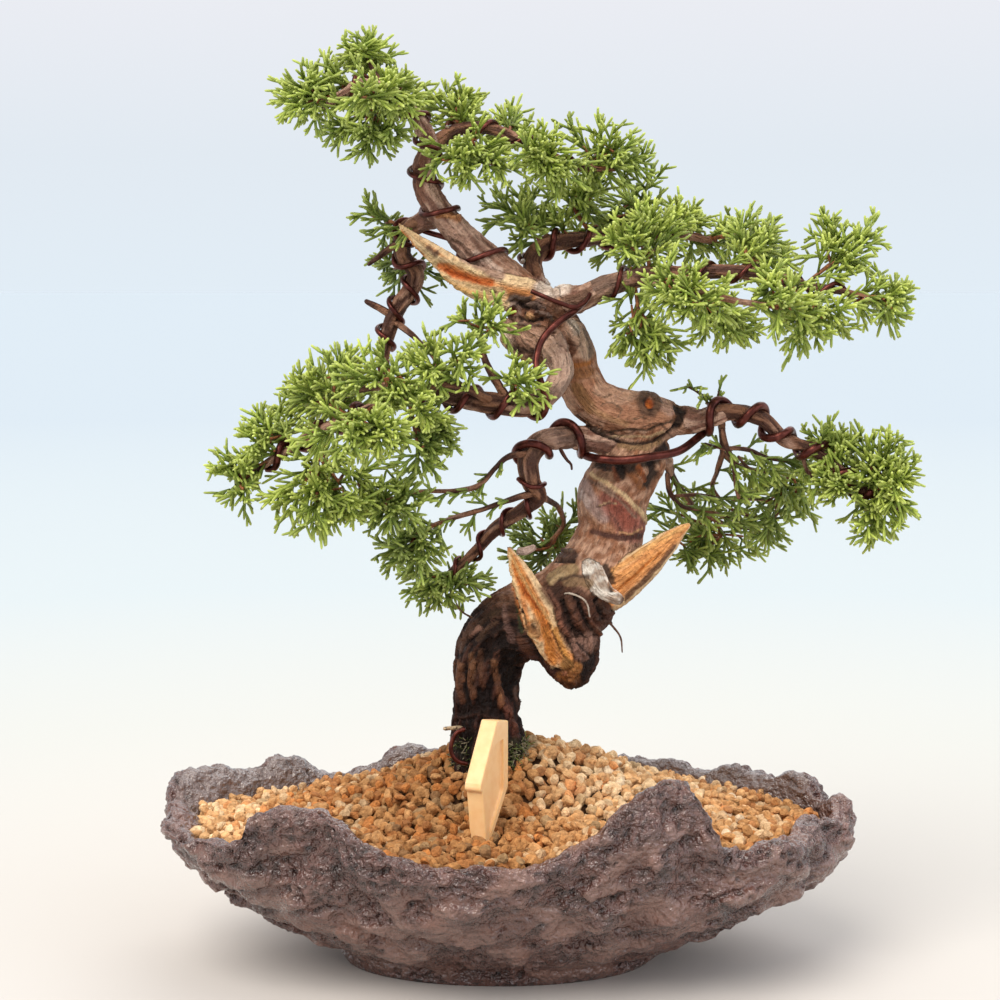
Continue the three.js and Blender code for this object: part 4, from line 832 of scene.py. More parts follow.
# ---- trunk: one skin over the joined limbs, then carved and coloured as the front shows it ----
# Each stroke: colour, half its width in pixels, millimetres out (or in, below 0), and its line in the frame.
STROKES = [
    # base: tan strips of flaking bark between dark furrows
    ("#1d120d", 13, -0.8, [(507, 640), (512, 660), (508, 680), (516, 690)]),
    ("#22160f", 9, -0.6, [(488, 640), (484, 655)]),
    ("#7d6049", 4.5, 0.7, [(457, 662), (457, 676), (460, 690), (463, 700)]),
    ("#8b6c52", 3, 0.5, [(461, 664), (463, 680)]),
    ("#846549", 4, 0.8, [(472, 655), (473, 668), (471, 682), (473, 696)]),
    ("#6f5340", 3.5, 0.6, [(481, 652), (480, 668), (483, 686)]),
    ("#8f6d50", 4.5, 1.0, [(494, 662), (496, 676), (500, 690), (502, 707)]),
    ("#b59670", 1.6, 0.6, [(499, 694), (502, 708)]),
    ("#765347", 6, 0.9, [(505, 700), (509, 716), (515, 735)]),
    ("#8f6c5c", 3, 0.5, [(508, 708), (514, 728)]),
    ("#857469", 5, 0.6, [(517, 690), (521, 706), (522, 722)]),
    ("#2a1b15", 4, -0.7, [(506, 690), (514, 704), (519, 722), (524, 738)]),
    ("#a98878", 4, 0.4, [(472, 632), (480, 629)]),
    ("#6b5548", 5, 0.3, [(459, 650), (466, 635), (477, 622)]),
    ("#4b3a2c", 5, 0.3, [(480, 622), (492, 614), (502, 610)]),
    ("#5f4a3b", 3, 0.4, [(478, 640), (488, 628), (497, 622)]),
    ("#2e1f18", 5, -0.6, [(486, 648), (492, 634), (500, 626)]),
    ("#33241c", 5, -0.4, [(458, 712), (475, 708), (500, 714)]),
    ("#4b372c", 2, 0.6, [(459, 718), (478, 714), (498, 719)]),
    ("#2c1e17", 6, 0.0, [(462, 730), (480, 735), (500, 738)]),
    ("#3c4226", 6, 0.2, [(515, 742), (522, 752), (530, 758)]),
    ("#343a22", 5, 0.1, [(458, 745), (463, 756)]),
    # the bend's mauve bark strips
    ("#6c5650", 4.5, 0.6, [(505, 612), (508, 630), (512, 642)]),
    ("#7d655b", 2.5, 0.4, [(504, 606), (507, 622)]),
    ("#4b3027", 9, 0.2, [(525, 650), (540, 668), (556, 678)]),
    ("#5a3c2c", 5, 0.2, [(519, 640), (530, 652)]),
    ("#39422a", 3, 0.1, [(518, 606), (520, 622), (521, 632)]),
    # the dark mass of the bend, with ridges that run down to the right
    ("#523426", 24, 0.0, [(560, 590), (580, 610), (600, 620)]),
    ("#40281d", 10, -0.6, [(556, 592), (566, 620), (572, 640)]),
    ("#76503f", 2.6, 1.0, [(549, 590), (558, 606), (563, 626), (570, 640)]),
    ("#7a543f", 2.2, 0.9, [(541, 588), (552, 604), (560, 626), (567, 646)]),
    ("#61412f", 2.6, 0.9, [(566, 598), (576, 618), (586, 634)]),
    ("#734e3c", 2.4, 1.0, [(583, 603), (590, 620), (600, 634)]),
    ("#241811", 2.6, -1.3, [(562, 600), (570, 622), (578, 638)]),
    ("#1f140f", 3, -1.4, [(575, 596), (584, 616), (594, 634)]),
    ("#1f140f", 3, -1.4, [(596, 600), (602, 618)]),
    ("#513d33", 2.5, 1.2, [(598, 604), (606, 612), (612, 612)]),
    ("#4a372d", 2.5, 1.2, [(596, 618), (604, 622), (609, 622)]),
    ("#5c4a40", 2.2, 0.9, [(590, 626), (600, 630), (603, 626)]),
    ("#8a7063", 9, 0.8, [(576, 640), (586, 648), (590, 638)]),
    ("#876c60", 6, 0.6, [(573, 648), (584, 656)]),
    ("#2b1e1a", 1.6, -0.8, [(576, 642), (583, 650), (590, 656)]),
    ("#4b352b", 8, 0.4, [(540, 553), (556, 552), (572, 556)]),
    ("#65503f", 2.2, 1.0, [(541, 550), (556, 549), (572, 552)]),
    ("#33231b", 2.4, -1.0, [(545, 560), (560, 561), (574, 562)]),
    ("#a68a63", 7, 0.3, [(552, 578), (562, 572), (574, 569)]),
    ("#b89b73", 3.5, 0.4, [(552, 582), (566, 573)]),
    ("#8a6e50", 6, 0.1, [(566, 582), (580, 580), (590, 584)]),
    ("#5b4636", 2, -0.7, [(560, 580), (574, 575), (588, 577)]),
    # torn tongue at the bend
    ("#ea9858", 6, 0.0, [(511, 566), (516, 585), (522, 605), (528, 625), (538, 640)]),
    ("#f09c52", 8, -0.4, [(512, 560), (520, 578), (531, 598), (543, 616)]),
    ("#e2853a", 5.5, -0.7, [(516, 572), (525, 590), (536, 608), (545, 622), (548, 640), (551, 660)]),
    ("#c4622a", 1.8, -0.6, [(518, 580), (528, 596), (540, 612)]),
    ("#f2be7c", 1.8, 0.5, [(510, 552), (519, 572), (530, 592), (543, 610), (552, 626), (560, 646)]),
    ("#f0cd9a", 1.8, 0.9, [(509, 556), (512, 575), (518, 592), (522, 610), (527, 630), (541, 645)]),
    ("#dd9a4c", 5, 0.2, [(556, 630), (560, 646), (566, 658)]),
    ("#d98a40", 6, -0.2, [(546, 632), (550, 648), (553, 662)]),
    ("#8c5f37", 5.5, 0.5, [(532, 628), (537, 634)]),
    ("#5a3d25", 2.8, -1.3, [(533, 626), (535, 628)]),
    ("#b98a58", 1.8, 0.7, [(529, 620), (536, 620), (540, 626), (538, 636), (531, 633)]),
    ("#7a4a26", 1.2, -0.7, [(549, 624), (556, 640), (563, 656), (572, 664)]),
    ("#a47742", 8, 0.3, [(566, 664), (576, 668)]),
    ("#8f6438", 7, 0.2, [(562, 676), (574, 678)]),
    ("#a9785c", 3, 1.0, [(565, 672), (566, 673)]),
    ("#5e3d24", 5, 0.0, [(556, 682), (568, 686), (578, 682)]),
    # the stump of the lost limb and its splinter
    ("#f0a664", 10, 0.0, [(616, 584), (636, 570), (656, 554), (674, 538)]),
    ("#f2ae6a", 4, 0.3, [(612, 572), (630, 560), (652, 546), (684, 527)]),
    ("#e3ad6c", 2, 0.4, [(634, 556), (656, 542), (688, 525)]),
    ("#d07c36", 1.8, -0.5, [(626, 584), (642, 568), (660, 553)]),
    ("#b96a2a", 2, -0.4, [(616, 590), (630, 580)]),
    ("#6b452d", 3.5, 0.1, [(622, 602), (640, 584), (658, 566), (674, 546)]),
    ("#3a261b", 4, -0.4, [(606, 566), (612, 578), (611, 590)]),
    # middle of the trunk: red-brown skin with a pale flank that is partly painted highlight, torn at the top,
    # with painted shade in the recess under the log
    # the pale flank: mauve-grey bark lightened by painted highlight where the bulge is lit from the upper
    # left
    ("#b09389", 10, 0.2, [(584, 486), (590, 500), (604, 516)]),
    ("#c6ada3", 5, 0.2, [(580, 492), (588, 504)]),
    ("#94584a", 18, 0.1, [(612, 500), (622, 514), (634, 530)]),
    ("#8a4a3a", 11, 0.0, [(618, 506), (629, 521)]),
    ("#b4967f", 4, 0.5, [(600, 484), (606, 490), (612, 494)]),
    ("#dcbb8e", 3.2, 0.6, [(592, 474), (606, 482), (624, 496), (640, 512), (650, 526)]),
    ("#8a6a58", 2, -0.6, [(589, 480), (606, 489), (622, 502), (636, 517)]),
    ("#6a4a3c", 1.3, -0.5, [(598, 507), (606, 504), (617, 504)]),
    ("#c4a27c", 1, 0.3, [(600, 505), (608, 502), (616, 503)]),
    ("#5d3b30", 1.2, -0.4, [(610, 512), (618, 524), (624, 536)]),
    ("#55332a", 4, -0.6, [(592, 531), (606, 535), (624, 538), (642, 536)]),
    ("#c89a6c", 1.4, 0.4, [(620, 532), (632, 534), (642, 528)]),
    # painted shade: a dark stroke in the recess under the log
    ("#3b281e", 7, -0.8, [(598, 464), (612, 467), (622, 470)]),
    ("#8a5530", 5, 0.4, [(628, 470), (637, 480), (643, 487)]),
    ("#a06a3c", 2.5, 0.6, [(632, 464), (640, 474)]),
    # painted shade: black strokes deep in that recess
    ("#1e130d", 5, -1.6, [(618, 466), (622, 476)]),
    ("#1b110c", 6, -1.6, [(652, 464), (655, 474), (648, 484)]),
    ("#7a5a44", 5, 0.2, [(600, 474), (614, 478)]),
    ("#9a7458", 3, 0.3, [(660, 456), (672, 450)]),
    ("#8f4f2a", 3, 0.3, [(603, 458), (606, 466)]),
    # the log: smooth tan bark lightened along its top by painted highlight, a pruning scar, a long crease
    # underneath and a painted shadow at its right end
    ("#b27e60", 16, 0.0, [(585, 392), (606, 410), (632, 418), (660, 418)]),
    # tan bark along the log's top, partly painted highlight
    ("#cda186", 9, 0.1, [(600, 390), (620, 398), (640, 392), (660, 396)]),
    ("#c79c87", 7, 0.0, [(662, 404), (670, 410)]),
    ("#93673f", 8, 0.0, [(577, 388), (584, 398), (590, 408)]),
    ("#bf9068", 4, 0.1, [(592, 406), (606, 418), (626, 424)]),
    ("#54402f", 1.5, -0.9, [
        (577, 416), (590, 426), (606, 433), (626, 430), (647, 431), (660, 425), (673, 421),
    ]),
    ("#c0a079", 2, 0.7, [(606, 437), (626, 436), (648, 437), (664, 431)]),
    ("#2a1c14", 2.4, -1.2, [(580, 420), (597, 432), (618, 441), (640, 444), (660, 438), (676, 426)]),
    ("#9c7b58", 4, 0.3, [(620, 446), (644, 448), (660, 442)]),
    # painted shadow: the black patch at the log's right end
    ("#1f140f", 5, -1.2, [(677, 404), (680, 416), (676, 426), (683, 412)]),
    ("#6a4c3a", 5.5, 1.0, [
        (640, 401), (643, 412), (652, 413), (658, 404), (652, 395), (643, 396), (640, 401),
    ]),
    ("#2c1a13", 4.6, -0.6, [(645, 402), (650, 409)]),
    ("#b1541f", 4.4, 0.3, [(648, 403), (650, 406)]),
    ("#c96a28", 2, 0.3, [(647, 404), (649, 407)]),
    ("#7a5e4a", 1, -0.3, [(602, 404), (612, 402), (622, 409), (618, 418)]),
    ("#80634c", 1, -0.3, [(592, 392), (604, 398), (612, 394)]),
    ("#80634c", 1, -0.3, [(632, 420), (642, 417), (650, 421)]),
    # up to the knot: orange flesh, a black cleft and grey bark
    ("#8b5b36", 8, 0.0, [(570, 366), (578, 374), (588, 372)]),
    ("#a8672f", 3, 0.2, [(566, 364), (578, 366), (590, 362)]),
    ("#b99c86", 11, 0.4, [(572, 326), (582, 338), (586, 352)]),
    ("#c1b3a3", 5, 0.5, [(570, 322), (576, 332)]),
    ("#8d7566", 3, -0.3, [(584, 330), (590, 342), (590, 356)]),
    ("#2c1f18", 4, -1.5, [(552, 328), (556, 338), (561, 350)]),
    ("#7a6558", 2, 1.0, [(556, 330), (562, 338), (566, 350)]),
    ("#ad8774", 16, 0.2, [(545, 289), (561, 287)]),
    ("#f4dfcd", 13, 0.5, [(545, 289), (561, 287)]),
    ("#fff2e6", 6, 0.1, [(550, 284), (562, 284)]),
    ("#7c5c49", 6, 0.4, [(566, 300), (578, 298), (588, 292)]),
    # the knot: flaking bark round a cut hole and a pale nub
    ("#c2a08a", 20, 0.2, [(508, 326), (520, 340), (548, 346)]),
    ("#a3806c", 9, 0.0, [(514, 344), (530, 352)]),
    ("#e2c8ae", 4, 0.4, [(500, 316), (503, 330), (510, 342)]),
    ("#3c2b23", 7, -0.4, [(512, 298), (524, 301), (538, 305)]),
    ("#6d594d", 2.2, 1.3, [(506, 301), (514, 296), (522, 299), (531, 297)]),
    ("#77645a", 2, 1.2, [(524, 306), (534, 303), (544, 308)]),
    ("#7d6a60", 2.2, 1.2, [(536, 312), (546, 314), (552, 320)]),
    ("#6b584d", 2, 1.1, [(520, 322), (530, 326), (540, 324)]),
    ("#31221b", 2.4, -1.3, [(518, 303), (528, 309), (538, 309)]),
    ("#2b1d17", 2.4, -1.2, [(521, 318), (532, 321), (543, 318)]),
    ("#8b7468", 4.2, 1.0, [(509, 310), (512, 304), (518, 305), (519, 312), (513, 317), (509, 312)]),
    ("#7a3a1c", 3, -1.6, [(513, 309), (515, 311)]),
    ("#b98a62", 3.2, 1.2, [(530, 315), (532, 316)]),
    ("#2a1c15", 1.5, -0.8, [(525, 313), (527, 320), (534, 321)]),
    ("#584237", 3, -0.4, [(508, 346), (520, 350), (534, 352)]),
    ("#d2ae7c", 5, 0.2, [(508, 356), (520, 360), (530, 363)]),
    ("#8a4a22", 2, 0.1, [(505, 352), (508, 356)]),
    # above the knot: the torn spear and the live strip beside it
    ("#e0bd8c", 9, 0.0, [(398, 228), (420, 248), (446, 276), (480, 292), (500, 294)]),
    ("#e6c79a", 3, 0.7, [(402, 230), (424, 250), (446, 261), (474, 268), (492, 274)]),
    ("#dba868", 3, 0.6, [(412, 245), (430, 270), (456, 286), (486, 298)]),
    ("#d87030", 5.5, -1.1, [(440, 266), (456, 274), (474, 280), (490, 282)]),
    ("#bc561d", 2.5, -0.7, [(446, 270), (462, 277), (480, 281)]),
    ("#d0813a", 3, -0.2, [(402, 232), (412, 244), (422, 256)]),
    ("#5b3a26", 1.8, -0.8, [(492, 292), (494, 293)]),
    ("#6b4c3a", 3, 0.8, [(428, 248), (434, 254), (438, 252)]),
    ("#b8937f", 7, 0.2, [(462, 256), (480, 266), (500, 276)]),
    ("#d0b19d", 4, 0.4, [(474, 252), (488, 262), (500, 270)]),
    ("#b8917c", 8, 0.2, [(440, 224), (454, 236), (468, 248)]),
    ("#a86b40", 4, 0.9, [(438, 216), (448, 214), (458, 220)]),
    ("#c08a5c", 1.6, 0.8, [(440, 212), (450, 218), (460, 216)]),
    ("#6b4c3c", 2, -0.7, [(452, 240), (462, 246), (470, 256)]),
    ("#8a5c48", 8, 0.0, [(420, 200), (418, 180), (424, 158)]),
    ("#6d4434", 3, -0.3, [(414, 202), (413, 184), (419, 166)]),
    # the deep shade between the log and the trunk under it
    ("#1c110c", 9, -1.0, [(604, 462), (628, 467), (654, 460), (669, 447)]),
    ("#8f4c22", 3.5, 0.4, [(638, 468), (646, 480)]),
    ("#6b3a22", 3, 0.3, [(612, 468), (618, 480)]),
    ("#b84a18", 4, -1.0, [(511, 311), (514, 313)]),
    ("#d6ab7c", 3.4, 1.0, [(528, 315), (532, 316)]),
]
STROKE_CORE = 0.5  # the share of a stroke's half width that it covers in full
STROKE_DYE = 0.92  # how much of a point's own colour a stroke takes away there
WOBBLE, WOBBLE_WIDE = 1.6, 5  # how far a stroke's edge strays, in pixels, and how wide its turns are
FACING_US = 0.12  # how much a face has to look this way before a stroke takes on it
PATCH_PX, PATCH_DEEP = 3, 7  # a patch of the frame, and the millimetres behind its front that still show


def open_to_view(points, facing):
    """Which points the camera sees, told by the nearest depth in each small patch of the frame."""
    spots, depth = as_seen(points)
    cell = (spots // PATCH_PX).astype(int)
    key = cell[:, 0] * 4096 + cell[:, 1]
    order = np.argsort(key, kind="stable")
    first = np.concatenate([[True], np.diff(key[order]) != 0])
    nearest = np.minimum.reduceat(depth[order], np.flatnonzero(first))
    nearest = nearest[np.cumsum(first) - 1]
    front = np.empty(len(points), bool)
    front[order] = depth[order] < nearest + PATCH_DEEP
    return spots, front & ((facing @ FORWARD) < -FACING_US)


def from_line(spots, line):
    """Each spot's distance from a broken line."""
    least = np.full(len(spots), np.inf)
    line = np.array(line, float)
    for a, b in zip(line[:-1], line[1:]):
        along = np.clip(((spots - a) @ (b - a)) / ((b - a) @ (b - a)), 0, 1)
        least = np.minimum(least, np.linalg.norm(spots - a - along[:, None] * (b - a), axis=1))
    return least


def carve_and_colour(points, facing, colour, roughened):
    """Works the strokes into the points and their colours, in their order."""
    spots, open_ = open_to_view(points, facing)
    wobble = WOBBLE * np.stack([rough(points, WOBBLE_WIDE, 2, seed) for seed in (31, 32)], axis=1)
    rise = np.zeros(len(points))
    for shade, width, out, line in STROKES:
        share = from_line(spots + min(1, width / 4) * wobble, line) / width
        cover = (1 - smooth(share, STROKE_CORE, 1)) * open_
        rise += out * cover
        tone = np.array(linear(shade)) * roughened[:, None]
        colour += STROKE_DYE * cover[:, None] * (tone - colour)
    return points + facing * rise[:, None], colour


def trough(grain, radius):
    """Sinks the front of a torn splinter, whose edges stand up."""
    ahead = grain[..., 0] / radius
    return -TROUGH_DEEP * radius * smooth(ahead, 0.55, 0.95) + TROUGH_RIB * radius * np.sin(7 * ahead)


TROUGH_DEEP, TROUGH_RIB = 0.38, 0.05  # shares of a splinter's radius
# the limbs whose start is part of the trunk's skin, and how much thicker the skin is than the limb
COLLARS = ("left_mid", "right_high", "left_low", "back_high", "right_low", "back_right", "high_left")
COLLAR_THICK = 0.35
SKIN_GRID = 0.78  # millimetres between points of the trunk's skin
OLD_BARK = (150, 172)  # heights over which the old plated bark ends
YOUNG_BARK = (95, 150)  # millimetres along the upper trunk over which its young bark begins
FOOT_PAINTED_SHADE = (112, 146)  # heights over which the painted shade that darkens the trunk's foot ends


def make_trunk():
    pieces = [round_limb(name, route, around=64, spacing=1.4) for name, route in CORE.items()]
    for name, route in TORN.items():
        hollow = trough if name in ("splinter_low", "splinter_high") else None
        flat = 1 if name == "dead_stub" else 0.6
        pieces.append(round_limb(name, route, around=40, spacing=1.0, flat=flat, relief=hollow))
    for name in COLLARS:
        collar = [(*spot, radius + COLLAR_THICK) for *spot, radius in BRANCHES[name][:2]]
        pieces.append(round_limb(name, collar + [BRANCHES[name][2]], around=40, spacing=1.2))
    piece = join(pieces, "trunk")
    apply_modifier(piece, "REMESH", mode="VOXEL", voxel_size=SKIN_GRID * MM)
    apply_modifier(piece, "SMOOTH", factor=0.5, iterations=4)
    points = points_of(piece)
    routes = {**CORE, **TORN, **{name: BRANCHES[name][:4] for name in COLLARS}}
    grain, limb, run = grain_of(points, routes)
    names = list(routes)
    on = lambda *wanted: np.isin(limb, [names.index(name) for name in wanted])
    high = points[:, 2]
    old = np.where(on("trunk_low", "elbow"), 1 - smooth(high, *OLD_BARK), 0)
    old = np.maximum(old, on("knot", "knot_low") * 0.5)
    upper = np.maximum(on("trunk_high") * smooth(run, *YOUNG_BARK), on(*COLLARS))
    torn = on("splinter_low", "splinter_right", "splinter_high", "splinter_knot").astype(float)
    dead = on("dead_stub").astype(float)

    strips = fibre(grain, 3.6, 7, 1, 3, 0.012)
    plates = smooth(strips, -0.06, 0.2)
    fine = fibre(grain, 1.3, 9, 2, 3)
    lumps = rough(points, 10, 3, 3)
    scaly = rough(points, 3.2, 3, 4)
    rise = old * (1.9 * plates - 1.0 + 0.6 * fine + 0.5 * lumps)
    rise += (1 - old) * (1 - torn) * (0.5 * lumps + 0.18 * fine + 0.22 * scaly)
    rise += upper * (0.45 * plates + 0.25 * scaly - 0.2)
    rise += torn * (0.45 * fibre(grain, 1.5, 16, 5, 3) + 0.3 * lumps)
    rise += dead * (0.3 * fibre(grain, 1.6, 8, 6, 3))
    facing = facings_of(piece)
    points = points + facing * rise[:, None]
    put_points(piece, points)
    facing = facings_of(piece)

    blend = lambda low, high, share: low + share[:, None] * (high - low)
    shades = {k: np.array(linear(v)) for k, v in BARK_TONES.items()}
    colour = blend(shades["furrow"], shades["strip"], plates * smooth(fine, -0.5, 0.3))
    smooth_bark = blend(shades["skin"], shades["skin_pale"], smooth(scaly + lumps, -0.3, 0.5))
    colour = blend(colour, smooth_bark, (1 - old) * (1 - upper))
    colour = blend(colour, blend(shades["young"], shades["young_pale"], plates), upper)
    ahead = grain[:, 0] / np.maximum(np.hypot(grain[:, 0], grain[:, 1]), 1e-6)
    flesh = blend(shades["flesh_edge"], shades["flesh"], smooth(ahead, 0.45, 0.85))
    flesh = blend(shades["back_of_tear"], flesh, smooth(ahead, -0.2, 0.25))
    colour = blend(colour, flesh, torn)
    colour = blend(colour, blend(shades["dead_shade"], shades["dead"], smooth(scaly, -0.4, 0.3)), dead)
    grime = 1 + (0.36 * smooth(fine + 0.6 * scaly, -0.6, 0.6) - 0.18) * (1 - 0.7 * torn)
    colour[:, :3] *= grime[:, None]
    points, colour = carve_and_colour(points, facing, colour, grime)
    colour[:, :3] *= 1 + old[:, None] * [0.1, -0.08, -0.16]
    # painted shade: the trunk's foot is darkened and reddened towards the gravel
    shaded = on("trunk_low") * (1 - smooth(high, *FOOT_PAINTED_SHADE))
    colour[:, :3] *= 1 - shaded[:, None] * [0.48, 0.6, 0.64]
    put_points(piece, points)
    keep(piece.data, "tone", colour)
    keep(piece.data, "grain", grain)
    piece.data.materials.append(bark("juniper_bark_and_torn_wood"))
    select_only(piece)
    bpy.ops.object.shade_smooth()
    settle(piece, "bark", "wood")


BARK_TONES = {
    "furrow": "#22140f", "strip": "#53392d", "skin": "#9d6a4c", "skin_pale": "#c0957a", "young": "#8a6150",
    "young_pale": "#c8a28c", "flesh_edge": "#f4d0a0", "flesh": "#ea9c5c", "back_of_tear": "#6a4a35",
    "dead": "#e8dfd2", "dead_shade": "#b9a28e",
}


def bark(name):
    """Juniper bark: dry fibrous strips over a smooth red skin, dull, with the odd polished place.

    Its fibres are 1.3 mm wide and 10 mm long, and its scales some 2 mm wide."""
    made, tree, shader = finish_of(name, IOR=1.45, Specular_IOR_Level=0.35)
    tone = node(tree, "Attribute", attribute_name="tone").outputs["Color"]
    grain = node(tree, "Attribute", attribute_name="grain").outputs["Vector"]
    spot = node(tree, "TexCoord").outputs["Object"]
    drawn = node(tree, "Mapping", {"Vector": grain, "Scale": (0.75, 0.75, 0.1)})  # grain is in mm
    fibres = node(tree, "TexNoise", {"Vector": drawn.outputs[0], "Scale": 1.0, "Roughness": 0.6})
    scales = node(tree, "TexNoise", {"Vector": spot, "Scale": 450.0})
    both = node(tree, "Math", {0: fibres.outputs["Fac"], 1: scales.outputs["Fac"]}, operation="ADD")
    mean = node(tree, "Math", {0: both.outputs[0], 1: 0.5}, operation="MULTIPLY")
    shade = node(tree, "ValToRGB", {"Fac": mean.outputs[0]}, [(0.36, "#b09d92"), (0.6, "#ffffff")])
    mixed = node(
        tree, "Mix", {0: 0.65, 6: tone, 7: shade.outputs["Color"]},
        data_type="RGBA", blend_type="MULTIPLY",
    )
    tree.links.new(mixed.outputs[2], shader.inputs["Base Color"])
    gloss = node(
        tree, "MapRange",
        {"Value": scales.outputs["Fac"], "From Min": 0.3, "From Max": 0.7, "To Min": 0.55, "To Max": 0.85},
    )
    tree.links.new(gloss.outputs["Result"], shader.inputs["Roughness"])
    bump = node(tree, "Bump", {"Height": both.outputs[0], "Strength": 1.0, "Distance": 0.0022})
    tree.links.new(bump.outputs["Normal"], shader.inputs["Normal"])
    return made


# how far the bark has come away, pale and smooth, where these limbs start
PEELED = {"left_mid": 0.85, "right_high": 0.35, "left_low": 0.3}
BRANCH_TONES = {"furrow": "#56362a", "strip": "#96694f", "grey": "#bf9a86", "peeled": "#cfae99"}


def branch_strips(grain):
    return fibre(grain, 2.2, 7, 11, 2, 0.02)


def branch_relief(grain, radius):
    """Strips of bark that stand up by a fifth of the radius, at most 0.7 mm, with fine fibres."""
    strips = np.minimum(radius * 0.22, 0.7) * (smooth(branch_strips(grain), -0.05, 0.25) - 0.4)
    return strips + 0.12 * fibre(grain, 1.1, 6, 12, 2)


def make_branches():
    pieces = []
    for name, route in BRANCHES.items():
        widest = max(spot[3] for spot in route)
        shown = route[1:] if name in COLLARS else route  # the trunk's own skin covers the start
        around = int(np.clip(TURN * widest / 0.9, 12, 36))
        limb = round_limb(name, shown, around, spacing=1.2, relief=branch_relief)
        keep(limb.data, "peeled", np.full(len(limb.data.vertices), PEELED.get(name, 0.0)))
        pieces.append(limb)
    piece = join(pieces, "branches")
    points = points_of(piece)
    grain = np.empty(3 * len(points), np.float32)
    piece.data.attributes["grain"].data.foreach_get("vector", grain)
    grain = grain.reshape(-1, 3).astype(float)
    tones = {name: np.array(linear(tone)) for name, tone in BRANCH_TONES.items()}
    strips = smooth(branch_strips(grain), -0.1, 0.25)
    colour = tones["furrow"] + strips[:, None] * (tones["strip"] - tones["furrow"])
    grey = smooth(rough(points, 14, 2, 13), 0.0, 0.5) * strips * 0.6
    colour = colour + grey[:, None] * (tones["grey"] - colour)
    peeled = np.empty(len(points), np.float32)
    piece.data.attributes["peeled"].data.foreach_get("value", peeled)
    peeled = (peeled * (1 - smooth(grain[:, 2], 14, 40)))[:, None]
    colour = colour + peeled * (tones["peeled"] * (0.75 + 0.25 * strips[:, None]) - colour)
    keep(piece.data, "tone", colour)
    piece.data.materials.append(bark("juniper_branch_bark"))
    settle(piece, "bark", "wood")


make_trunk()
make_branches()


# ---- training wire: anodised aluminium, wound along the same coils as its solids ----
THICK_WIRE, FRONT_WIRE, MIDDLE_WIRE, CROWN_WIRE, THIN_WIRE = 1.8, 1.5, 1.4, 1.2, 1.0  # radii
TURN_STEPS = 10
WIRE_SIDES = 12
WIRE_ROW_GAP = 1.1
CUT_BEVEL, CUT_RADIUS = 0.12, 0.8  # how long a cut end's bevel is, and the share of the radius that it leaves


def coil(name, start, end, turns, phase, radius):
    """Points of a coil that lies on a limb's bark, from one share of its length to another."""
    place, _, front, side, bark_radius, run = stations(LIMBS[name], 300)
    steps = int(turns * TURN_STEPS)
    share = np.linspace(0, 1, steps + 1)
    spot = start + (end - start) * share
    read = lambda v: np.stack([np.interp(spot, run / run[-1], column) for column in v.T], axis=1)
    angle = (phase + TURN * turns * share)[:, None]
    reach = np.interp(spot, run / run[-1], bark_radius)[:, None] + 0.95 * radius + 0.2
    return read(place) + reach * (np.cos(angle) * unit(read(front)) + np.sin(angle) * unit(read(side)))


def drawn_through(points, spacing):
    """A smooth line through unevenly spaced points, which doesn't swing wide where they are close."""
    points = np.array(points, float)
    knots = np.concatenate([[0], np.cumsum(np.linalg.norm(np.diff(points, axis=0), axis=1) ** 0.5)])
    line = []
    for i in range(len(points) - 1):
        before, after = max(i - 1, 0), min(i + 2, len(points) - 1)
        span = knots[i + 1] - knots[i]
        pace = lambda a, b: (points[b] - points[a]) / max(knots[b] - knots[a], 1e-9)
        slope = lambda a, b, c: pace(a, b) + pace(b, c) - pace(a, c)
        m0 = slope(before, i, i + 1) if before < i else pace(i, i + 1)
        m1 = slope(i, i + 1, after) if after > i + 1 else pace(i, i + 1)
        count = max(2, int(np.linalg.norm(points[i + 1] - points[i]) / spacing))
        t = (np.arange(count) / count)[:, None]
        line.append(
            (2 * t**3 - 3 * t**2 + 1) * points[i] + (t**3 - 2 * t**2 + t) * span * m0
            + (3 * t**2 - 2 * t**3) * points[i + 1] + (t**3 - t**2) * span * m1
        )
    return np.concatenate([*line, points[-1:]])


def make_wire(name, points, radius):
    """A round wire drawn along a line, with a small bevel at its cut ends."""
    line = drawn_through(points, WIRE_ROW_GAP)
    along = unit(np.gradient(line, axis=0))
    front, fronts = np.array([0.31, -0.9, 0.3]), []
    for tangent in along:
        front = unit(front - front @ tangent * tangent)
        fronts.append(front)
    fronts = np.array(fronts)
    side = np.cross(fronts, along)
    between = len(line) - 2
    shift = [0, 0, CUT_BEVEL] + [0] * between + [-CUT_BEVEL, 0, 0]
    scale = [0, CUT_RADIUS, 1] + [1] * between + [1, CUT_RADIUS, 0]
    pick = np.array([0, 0, *range(len(line)), between + 1, between + 1])
    spots = line[pick] + np.array(shift)[:, None] * along[pick]
    angle = np.linspace(0, TURN, WIRE_SIDES, endpoint=False)
    cos, sin = np.cos(angle)[None, :, None], np.sin(angle)[None, :, None]
    ring = cos * fronts[pick][:, None] + sin * side[pick][:, None]
    rows = spots[:, None] + radius * np.array(scale)[:, None, None] * ring
    cut = np.zeros(rows.shape[:2])
    cut[:2] = cut[-2:] = 1
    piece = lay(name.replace("wire_", "coil_"), rows, cut=cut)
    piece.data.materials.append(anodised)
    settle(piece, "wire", *([name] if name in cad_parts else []))


